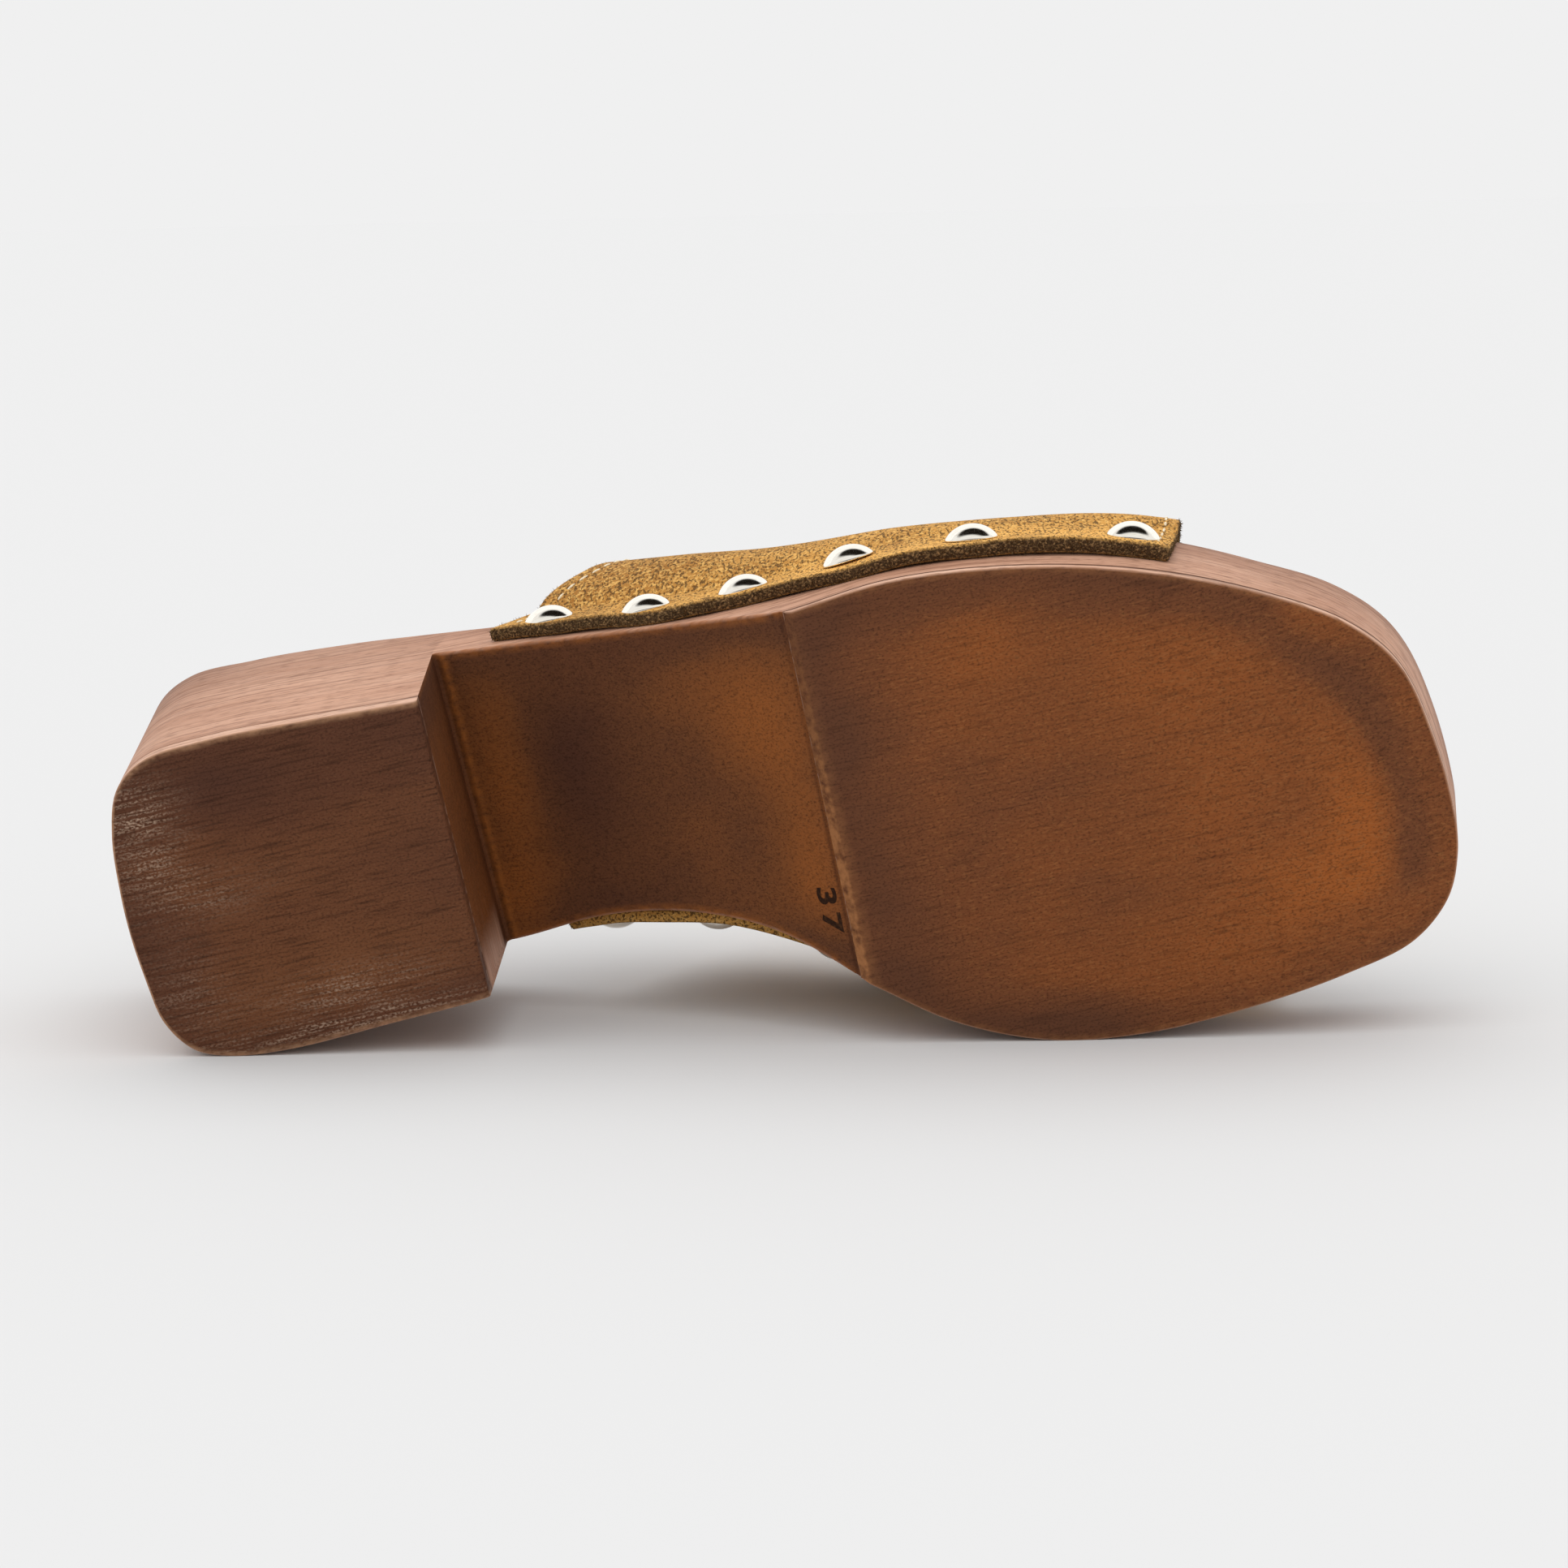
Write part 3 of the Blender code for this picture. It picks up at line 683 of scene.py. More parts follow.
def add_piece(
    mesh: bpy.types.Mesh,
    material: bpy.types.Material | None,
    replaced: Sequence[str] = (),
) -> bpy.types.Object:
    """Put a finished mesh on the shoe.

    Args:
        mesh: The mesh, in packed metres.
        material: Its material, or none where the mesh already has one.
        replaced: The solids that it stands for.

    Returns:
        The new object.
    """
    if material is not None:
        mesh.materials.clear()
        mesh.materials.append(material)
    piece = bpy.data.objects.new(mesh.name, mesh)
    bpy.context.scene.collection.objects.link(piece)
    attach(piece, BODY)
    if replaced:
        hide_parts(*replaced)
    mesh.calc_loop_triangles()
    LOG.info("%s: %d triangles", piece.name, len(mesh.loop_triangles))
    return piece


def grow(
    base: bpy.types.Mesh,
    tree: bpy.types.NodeTree,
    values: Mapping[str, Any],
    name: str,
) -> bpy.types.Mesh:
    """Run a geometry tree on a mesh and keep the result as a plain mesh.

    Args:
        base: The mesh that the tree starts from.
        tree: The tree.
        values: Input name to value.
        name: Name of the new mesh.

    Returns:
        The realized mesh.
    """
    carrier = bpy.data.objects.new(name + "_base", base)
    bpy.context.scene.collection.objects.link(carrier)
    modifier = carrier.modifiers.new(name, "NODES")
    modifier.node_group = tree
    for item in tree.interface.items_tree:
        if item.in_out == "INPUT" and item.name in values:
            modifier[item.identifier] = values[item.name]
    graph = bpy.context.evaluated_depsgraph_get()
    mesh = bpy.data.meshes.new_from_object(carrier.evaluated_get(graph), depsgraph=graph)
    mesh.name = name
    carrier.modifiers.remove(modifier)
    bpy.data.objects.remove(carrier)
    return mesh


def new_geometry_tree(name: str, inputs: Mapping[str, str]) -> tuple[bpy.types.NodeTree, bpy.types.Node]:
    """Start a geometry tree with named inputs.

    Args:
        name: The tree's name.
        inputs: Input name to socket type, besides the geometry itself.

    Returns:
        The tree and its input node.
    """
    tree = bpy.data.node_groups.new(name, "GeometryNodeTree")
    tree.interface.new_socket("Geometry", in_out="INPUT", socket_type="NodeSocketGeometry")
    for key, kind in inputs.items():
        tree.interface.new_socket(key, in_out="INPUT", socket_type=kind)
    tree.interface.new_socket("Geometry", in_out="OUTPUT", socket_type="NodeSocketGeometry")
    return tree, add_node(tree, "NodeGroupInput")


def close_geometry_tree(
    tree: bpy.types.NodeTree,
    start: bpy.types.Node,
    instances: bpy.types.NodeSocket,
) -> None:
    """End a geometry tree: realize its instances and give them their material.

    Args:
        tree: The tree.
        start: Its input node, with an input named Material.
        instances: The socket that gives the instances.
    """
    real = add_node(tree, "GeometryNodeRealizeInstances", {"Geometry": instances})
    dressed = add_node(
        tree,
        "GeometryNodeSetMaterial",
        {"Geometry": real.outputs["Geometry"], "Material": start.outputs["Material"]},
    )
    add_node(tree, "NodeGroupOutput", {"Geometry": dressed.outputs["Geometry"]})


@dataclass(frozen=True)
class Marks:
    """A noise pattern of a real size: its marks' length along the shoe and width across it."""

    along_mm: float
    across_mm: float
    strength: float
    low: float = 0.35
    high: float = 0.65
    detail: float = 2.0
    shift: float = 0.0

    def build(self, tree: bpy.types.NodeTree, place: bpy.types.NodeSocket) -> bpy.types.NodeSocket:
        """Add the pattern to a material.

        Args:
            tree: The material's tree.
            place: Standing millimetres.

        Returns:
            A socket from 0 to the pattern's strength.
        """
        across = 1.0 / self.across_mm
        stretch = add_node(
            tree,
            "ShaderNodeMapping",
            {
                "Vector": place,
                "Location": (self.shift,) * 3,
                "Scale": (1.0 / self.along_mm, across, across),
            },
        )
        noise = add_node(
            tree,
            "ShaderNodeTexNoise",
            {"Vector": stretch.outputs["Vector"], "Scale": 1.0, "Detail": self.detail},
        )
        limits = add_node(
            tree,
            "ShaderNodeMapRange",
            {
                "Value": noise.outputs["Fac"],
                "From Min": self.low,
                "From Max": self.high,
                "To Max": self.strength,
            },
        )
        return limits.outputs["Result"]


SOLE_VALUES = ("under", "warmth", "scuff", "trim", "seam", "rise", "run", "top")


class Finish:
    """A material's tree with the places of the shoe at hand."""

    def __init__(self, name: str) -> None:
        """Start an empty Principled material.

        Args:
            name: Name of the real material.
        """
        self.material = bpy.data.materials.new(name)
        self.material.use_nodes = True
        self.tree = self.material.node_tree
        self.shader = self.tree.nodes["Principled BSDF"]
        place = add_node(self.tree, "ShaderNodeTexCoord").outputs["Object"]
        self.place = add_node(
            self.tree, "ShaderNodeMapping", {"Vector": place, **SHOE.mapping()}
        ).outputs["Vector"]

    def paint(
        self, ground: Any, layers: Sequence[tuple[bpy.types.NodeSocket, Any]]
    ) -> bpy.types.NodeSocket:
        """Lay colours over a ground.

        Args:
            ground: Hex colour or colour socket of the lowest layer.
            layers: Cover of each layer and its hex colour or colour socket.

        Returns:
            The colour on top.
        """
        colour = ground
        for cover, paint in layers:
            shades = [srgb(shade) if isinstance(shade, str) else shade for shade in (colour, paint)]
            mix = add_node(
                self.tree,
                "ShaderNodeMix",
                {"Factor": cover, 6: shades[0], 7: shades[1]},
                data_type="RGBA",
            )
            colour = mix.outputs[2]
        return colour

    def emboss(self, heights: Sequence[tuple[bpy.types.NodeSocket, float]]) -> bpy.types.NodeSocket:
        """Raise the surface by some patterns.

        Args:
            heights: Pattern and its height in millimetres.

        Returns:
            The normal.
        """
        normal = None
        for pattern, height in heights:
            inputs = {"Height": pattern, "Distance": height * MM, "Strength": 1.0}
            if normal is not None:
                inputs["Normal"] = normal
            normal = add_node(self.tree, "ShaderNodeBump", inputs).outputs["Normal"]
        return normal

    def shine(self, **values: Any) -> bpy.types.Material:
        """Set or link inputs of the Principled shader, with spaces as underscores in their names.

        Args:
            values: Input name to a value or socket.

        Returns:
            The finished material.
        """
        for key, value in values.items():
            socket = self.shader.inputs[key.replace("_", " ")]
            if isinstance(value, bpy.types.NodeSocket):
                self.tree.links.new(value, socket)
            else:
                socket.default_value = value
        return self.material


@dataclass(frozen=True)
class StainedSole:
    """Alder stained reddish brown, sanded and waxed: bare grain on the walls, burnished underneath."""

    name: str
    wall: str = "#b6886f"
    wall_light: str = "#d6aa90"
    wall_line: str = "#6e4733"
    wall_top_shade: str = "#6c4a3a"
    dark: str = "#4f3124"
    middle: str = "#663e26"
    warm: str = "#8a5027"
    speck: str = "#2a170e"
    fleck: str = "#80522f"
    scuff: str = "#a08672"
    trim: str = "#a3602b"
    seam: str = "#432619"
    streak: float = 0.30
    fleck_length: float = 0.55
    sparkle: float = 0.42

    def build(self) -> bpy.types.Material:
        """Build the material from the values that a layer's mesh carries."""
        finish = Finish(self.name)
        tree, place = finish.tree, finish.place
        seen = {
            key: add_node(tree, "ShaderNodeAttribute", attribute_name=key).outputs["Fac"]
            for key in SOLE_VALUES
        }
        # Fibres run round the walls and straight along the footbed as fine dark lines and short pores,
        # and broad bands of colour run with them. The walls are seen at a glancing angle, so the lines
        # are drawn 1 mm wide and more.
        height = add_node(tree, "ShaderNodeSeparateXYZ", {"Vector": place}).outputs["Z"]
        wrapped = add_node(tree, "ShaderNodeCombineXYZ", {"X": seen["run"], "Z": height})
        level = add_node(tree, "ShaderNodeMath", {0: seen["top"], 1: 0.5}, operation="GREATER_THAN")
        around = add_node(
            tree,
            "ShaderNodeMix",
            {"Factor": level.outputs["Value"], 4: wrapped.outputs["Vector"], 5: place},
            data_type="VECTOR",
        ).outputs[1]
        lines = Marks(45.0, 1.2, 0.5, 0.48, 0.66, 3.0).build(tree, around)
        bands = Marks(40.0, 9.0, 0.75, 0.30, 0.66, 3.0).build(tree, around)
        pores = Marks(3.5, 0.7, 0.5, 0.52, 0.68, 2.0, 7.0).build(tree, around)
        # The rise value paints the wall darker towards its top: painted shade.
        wall = finish.paint(
            self.wall,
            (
                (bands, self.wall_light),
                (lines, self.wall_line),
                (pores, self.wall_line),
                (seen["rise"], self.wall_top_shade),
            ),
        )
        # The stain pools in clouds, and the wax over it is finely speckled. The real specks are finer
        # than the picture can show, so they are drawn about half a millimetre wide, longer on the tread.
        clouds = Marks(22.0, 13.0, 0.45, 0.20, 0.80, 4.0, 3.0).build(tree, place)
        cloudy = add_node(
            tree, "ShaderNodeMath", {0: seen["warmth"], 1: clouds}, operation="ADD"
        ).outputs["Value"]
        warm = add_node(tree, "ShaderNodeMapRange", {"Value": cloudy, "From Min": 0.10, "From Max": 1.10})
        cold = add_node(tree, "ShaderNodeMapRange", {"Value": cloudy, "From Min": 0.30, "From Max": -0.50})
        specks = Marks(0.55, 0.38, 0.48, 0.50, 0.68, 2.0).build(tree, place)
        flecks = Marks(self.fleck_length, 0.38, self.sparkle, 0.50, 0.70, 2.0, 11.0).build(tree, place)
        streaks = Marks(9.0, 0.6, self.streak, 0.50, 0.72, 3.0, 5.0).build(tree, place)
        # Wear is dusty: fine pale grains along the streaks.
        rubbed = Marks(14.0, 0.6, 1.0, 0.42, 0.60, 3.0, 9.0).build(tree, place)
        grit = Marks(0.6, 0.42, 1.0, 0.42, 0.62, 2.0, 13.0).build(tree, place)
        dusty = add_node(
            tree, "ShaderNodeMath", {0: rubbed, 1: grit}, operation="MULTIPLY"
        ).outputs["Value"]
        scuffs = add_node(
            tree,
            "ShaderNodeMath",
            {0: seen["scuff"], 1: dusty},
            operation="MULTIPLY",
            use_clamp=True,
        )
        under = finish.paint(
            self.middle,
            (
                (warm.outputs["Result"], self.warm),
                (flecks, self.fleck),
                (cold.outputs["Result"], self.dark),
                (streaks, self.speck),
                (specks, self.speck),
                (scuffs.outputs["Value"], self.scuff),
            ),
        )
        # Painted highlight: edges and the breast bead are painted lighter, broken up by a noise. The seam
        # colour marks dark joints between the layers, and is painted shade in the breast corner and along the
        # ridge groove.
        edge_breaks = Marks(2.4, 1.6, 1.0, 0.28, 0.60, 4.0, 17.0).build(tree, place)
        edges = add_node(tree, "ShaderNodeMath", {0: seen["trim"], 1: edge_breaks}, operation="MULTIPLY")
        colour = finish.paint(
            wall,
            ((seen["under"], under), (edges.outputs["Value"], self.trim), (seen["seam"], self.seam)),
        )
        gloss = Marks(20.0, 3.0, 1.0, 0.3, 0.7).build(tree, place)
        rough = add_node(tree, "ShaderNodeMapRange", {"Value": gloss, "To Min": 0.52, "To Max": 0.66})
        normal = finish.emboss(((lines, -0.02), (specks, -0.04), (streaks, -0.05)))
        return finish.shine(
            Base_Color=colour,
            Roughness=rough.outputs["Result"],
            Normal=normal,
            IOR=1.5,
            Specular_IOR_Level=0.06,
        )


@dataclass(frozen=True)
class TanSuede:
    """Tan suede: a short nap that scatters light, dark fibre gaps, and raw edges soaked with dye."""

    base: str = "#b57b30"
    light: str = "#f4b55a"
    tip: str = "#fbc873"
    shade: str = "#78491c"
    gap: str = "#42270c"
    edge: str = "#43301f"
    edge_fibre: str = "#9a7850"
    flesh: str = "#5a4226"

    def build(self) -> bpy.types.Material:
        """Build the material; it reads the values cut, inside and upper of its mesh."""
        finish = Finish("tan_suede")
        tree, place = finish.tree, finish.place
        cut, inside, upper = (
            add_node(tree, "ShaderNodeAttribute", attribute_name=key).outputs["Fac"]
            for key in ("cut", "inside", "upper")
        )
        clouds = Marks(13.0, 9.0, 0.55, 0.36, 0.66, 3.0).build(tree, place)
        bruises = Marks(10.0, 8.0, 0.42, 0.48, 0.70, 4.0, 4.0).build(tree, place)
        nap = Marks(0.9, 0.9, 0.55, 0.46, 0.62, 3.0, 2.0).build(tree, place)
        # The pits between the fibres are finer than the picture can show. They are drawn half a
        # millimetre wide, and twice as tall on the sides, which are seen at a glancing angle.
        tall = add_node(
            tree, "ShaderNodeMapping", {"Vector": place, "Scale": (1.0, 1.0, 0.5)}
        ).outputs["Vector"]
        gaps = Marks(0.5, 0.6, 0.8, 0.53, 0.63, 3.0, 6.0).build(tree, tall)
        fibres = Marks(0.5, 0.4, 1.0, 0.48, 0.66, 2.0, 8.0).build(tree, place)
        # Painted light: the lower part is painted lighter around the nails as a painted highlight, and the
        # band is painted darker higher up and towards the rear as painted shade.
        rubbed = add_node(tree, "ShaderNodeMapRange", {"Value": upper, "To Min": 0.8, "To Max": 0.0})
        shade_cover = add_node(tree, "ShaderNodeMapRange", {"Value": upper, "To Max": 0.5})
        face = finish.paint(
            self.base,
            (
                (clouds, self.light),
                (rubbed.outputs["Result"], self.light),
                (bruises, self.shade),
                (shade_cover.outputs["Result"], self.shade),
                # Painted highlight: the raised nap is painted a paler colour.
                (nap, self.tip),
                (gaps, self.gap),
            ),
        )
        raw = finish.paint(self.edge, ((fibres, self.edge_fibre), (gaps, self.gap)))
        colour = finish.paint(face, ((inside, self.flesh), (cut, raw)))
        normal = finish.emboss(((nap, 0.18), (gaps, -0.32), (fibres, 0.08)))
        return finish.shine(
            Base_Color=colour,
            Roughness=0.92,
            Normal=normal,
            Specular_IOR_Level=0.1,
            Sheen_Weight=0.25,
            Sheen_Roughness=0.45,
            Sheen_Tint=srgb("#e6c48f"),
        )


@dataclass(frozen=True)
class SuedeFibre:
    """Loose suede fibres: fine, matt hairs, mottled dark and light."""

    light: str = "#7f6543"
    dark: str = "#2a1c0e"

    def build(self) -> bpy.types.Material:
        """Build the material."""
        finish = Finish("suede_fibre")
        shade = Marks(0.7, 0.6, 1.0, 0.38, 0.62, 1.0).build(finish.tree, finish.place)
        colour = finish.paint(self.dark, ((shade, self.light),))
        return finish.shine(Base_Color=colour, Roughness=0.9, Specular_IOR_Level=0.15)


@dataclass(frozen=True)
class PolishedNickel:
    """Nickel-plated steel, polished: a warm mirror with faint rub marks."""

    plate: str = "#fffaf0"
    rubbed: str = "#f6eee0"

    def build(self) -> bpy.types.Material:
        """Build the material."""
        finish = Finish("polished_nickel")
        rubs = Marks(3.0, 0.5, 1.0, 0.45, 0.75, 3.0).build(finish.tree, finish.place)
        colour = finish.paint(self.plate, ((rubs, self.rubbed),))
        rough = add_node(finish.tree, "ShaderNodeMapRange", {"Value": rubs, "To Min": 0.10, "To Max": 0.15})
        return finish.shine(Base_Color=colour, Metallic=1.0, Roughness=rough.outputs["Result"])


@dataclass(frozen=True)
class CreamThread:
    """Waxed cream thread: pale, faintly ribbed by its twist."""

    light: str = "#f2e4c6"
    dark: str = "#c9ae7e"

    def build(self) -> bpy.types.Material:
        """Build the material."""
        finish = Finish("cream_thread")
        twist = Marks(0.35, 0.35, 0.7, 0.40, 0.65, 1.0).build(finish.tree, finish.place)
        colour = finish.paint(self.light, ((twist, self.dark),))
        normal = finish.emboss(((twist, 0.05),))
        return finish.shine(Base_Color=colour, Roughness=0.6, Normal=normal)


@dataclass(frozen=True)
class BurntStamp:
    """A size number pressed into the waist: stain gathered dark in the dent."""

    dark: str = "#2b1a11"
    worn: str = "#472d1b"

    def build(self) -> bpy.types.Material:
        """Build the material."""
        finish = Finish("burnt_stamp")
        wear = Marks(0.8, 0.8, 0.8, 0.45, 0.65, 2.0).build(finish.tree, finish.place)
        colour = finish.paint(self.dark, ((wear, self.worn),))
        return finish.shine(Base_Color=colour, Roughness=0.7, Specular_IOR_Level=0.06)


@dataclass
class SoleSlab:
    """One layer of the sole: walls on the outline between a bottom path and a top."""

    shape: SoleShape
    path: np.ndarray
    top: np.ndarray
    proud: float = 0.0
    foot_round: np.ndarray | float = 0.6
    top_round: float = 0.2
    dished: bool = False
    wall_rows: int = 10
    foot_turns: int = 4
    top_turns: int = 5
    columns: int = 46
    room_share: float = 0.45
    wall_bend: float = 1.5

    def wall(self, side: Side) -> np.ndarray:
        """Return one side's points from the underside over the wall to the top.

        Args:
            side: The side.

        Returns:
            An array of stations by points.
        """
        x, low = self.path[:, 0], self.path[:, 1]
        room = self.room_share * (self.top - low)
        foot = np.minimum(self.foot_round, room)
        brow = np.minimum(self.top_round, room)
        edge = self.shape.edges[side]
        points = []
        for angle in np.linspace(0.0, 0.5 * math.pi, self.foot_turns):
            inset = foot * (1.0 - math.sin(angle))
            points.append(edge.wall(x, low + foot * (1.0 - math.cos(angle)), self.proud - inset))
        for share in np.linspace(0.0, 1.0, self.wall_rows + 2)[1:-1]:
            height = low + foot + share ** self.wall_bend * (self.top - brow - low - foot)
            points.append(edge.wall(x, height, self.proud))
        for angle in np.linspace(0.0, 0.5 * math.pi, self.top_turns):
            inset = brow * (1.0 - math.cos(angle))
            points.append(edge.wall(x, self.top - brow * (1.0 - math.sin(angle)), self.proud - inset))
        return np.stack(points, axis=1)

    def grid(self) -> tuple[np.ndarray, dict[str, np.ndarray]]:
        """Return the rings of the layer and which points lie where.

        Returns:
            The grid in standing millimetres, and values for its points: shares from 0 to 1 for under on
            the underside, foot on the round below the wall, brow on the round above it, rise up the
            wall and top on the upper face, and millimetres for run along the outline.
        """
        lateral, medial = self.wall(Side.LATERAL), self.wall(Side.MEDIAL)
        x = self.path[:, 0]
        for end, place in ((0, self.shape.heel_x), (-1, self.shape.toe_x)):
            if abs(x[end] - place) < 1e-6:
                medial[end] = lateral[end]
        shares = np.linspace(0.0, 1.0, self.columns + 1)[1:-1][None, :]
        crown = lateral[:, -1:] + (medial[:, -1:] - lateral[:, -1:]) * shares[..., None]
        if self.dished:
            hollow = 1.0 - (2.0 * shares - 1.0) ** 4
            crown[..., 2] -= self.shape.dish(x)[:, None] * hollow
        floor = medial[:, :1] + (lateral[:, :1] - medial[:, :1]) * shares[..., None]
        grid = np.concatenate((lateral, crown, medial[:, ::-1], floor), axis=1)
        count = lateral.shape[1]
        middle, end = count + self.columns - 1, 2 * count + self.columns - 1
        zones = {name: np.zeros(grid.shape[:2]) for name in ("under", "foot", "brow", "rise", "run", "top")}
        turns = np.arange(self.foot_turns)
        for places in (turns, end - 1 - turns):
            zones["under"][:, places] = np.linspace(1.0, 0.0, self.foot_turns)
            zones["foot"][:, places] = 1.0
        zones["under"][:, end:] = 1.0
        zones["brow"][:, count - self.top_turns:middle + self.top_turns] = 1.0
        climb = np.clip(np.arange(count) - self.foot_turns, 0, None) / (count - self.foot_turns)
        zones["rise"][:, :end] = np.concatenate((climb, np.ones(self.columns - 1), climb[::-1]))
        start, finish = (self.shape.edges[side].run(x)[:, None] for side in Side)
        zones["run"][:, :count] = start
        zones["run"][:, count:middle] = start + (finish - start) * shares
        zones["run"][:, middle:end] = finish
        zones["top"][:, count:middle] = 1.0
        return self.shape.settle(grid), zones


@dataclass(frozen=True)
class SoleWear:
    """How stain, wear, dark joints, painted shade and painted highlights lie on the sole: places in
    millimetres, strengths as shares.
    """

    toe_start: float = 212.0
    toe_reach: float = 22.0
    toe_side: float = 62.0
    toe_side_reach: float = 14.0
    edge_reach: float = 7.5
    band_place: float = 8.5
    band_reach: float = 4.2
    band_strength: float = 1.2
    bare_share: float = 0.85
    bare_side: float = 40.0
    bare_side_reach: float = 18.0
    bare_start: float = 175.0
    bare_reach: float = 15.0
    touching: float = 0.01
    breast_margin: float = 4.0
    breast_run: float = 1.0
    rubbed_share: float = 0.85
    rubbed_side: float = 24.0
    rubbed_reach: float = 9.0
    corner_place: float = 0.5
    corner_width: float = 0.7
    corner_height: float = 30.0
    corner_fade: float = 6.0
    ridge_width: float = 0.35
    ridge_least: float = 0.3
    ridge_more: float = 0.7
    ridge_side: float = -8.0
    ridge_reach: float = 30.0
    bead_width: float = 1.0
    breast_lighten_share: float = 0.45
    breast_lighten_reach: float = 42.0
    rear_dark_share: float = 0.14
    rear_dark_start: float = 6.0
    rear_dark_reach: float = 22.0
    ahead_place: float = 8.0
    ahead_reach: float = 12.0
    rise_power: float = 2.6
    rise_cap: float = 0.85
    wood_burnish: float = 0.42
    tread_burnish: float = 0.5
    lift_burnish: float = 0.25
    bead_trim: float = 0.6
    waist_trim: float = 0.4
    waist_shade: float = 0.5
    heel_seam: float = 0.25
    toe_seam: float = 0.5
    bevel_end: float = 0.6
    bevel_run: float = 1.0
    bevel_least: float = 0.15
    bevel_more: float = 0.8
    bevel_side: float = -30.0
    bevel_reach: float = 60.0
    tread_trim: float = 0.3
    tread_seam: float = 0.8
    lift_trim: float = 0.6
    lift_seam: float = 0.2
    breast_seam: float = 0.6
    breast_seam_start: float = 58.0
    breast_seam_reach: float = 8.0


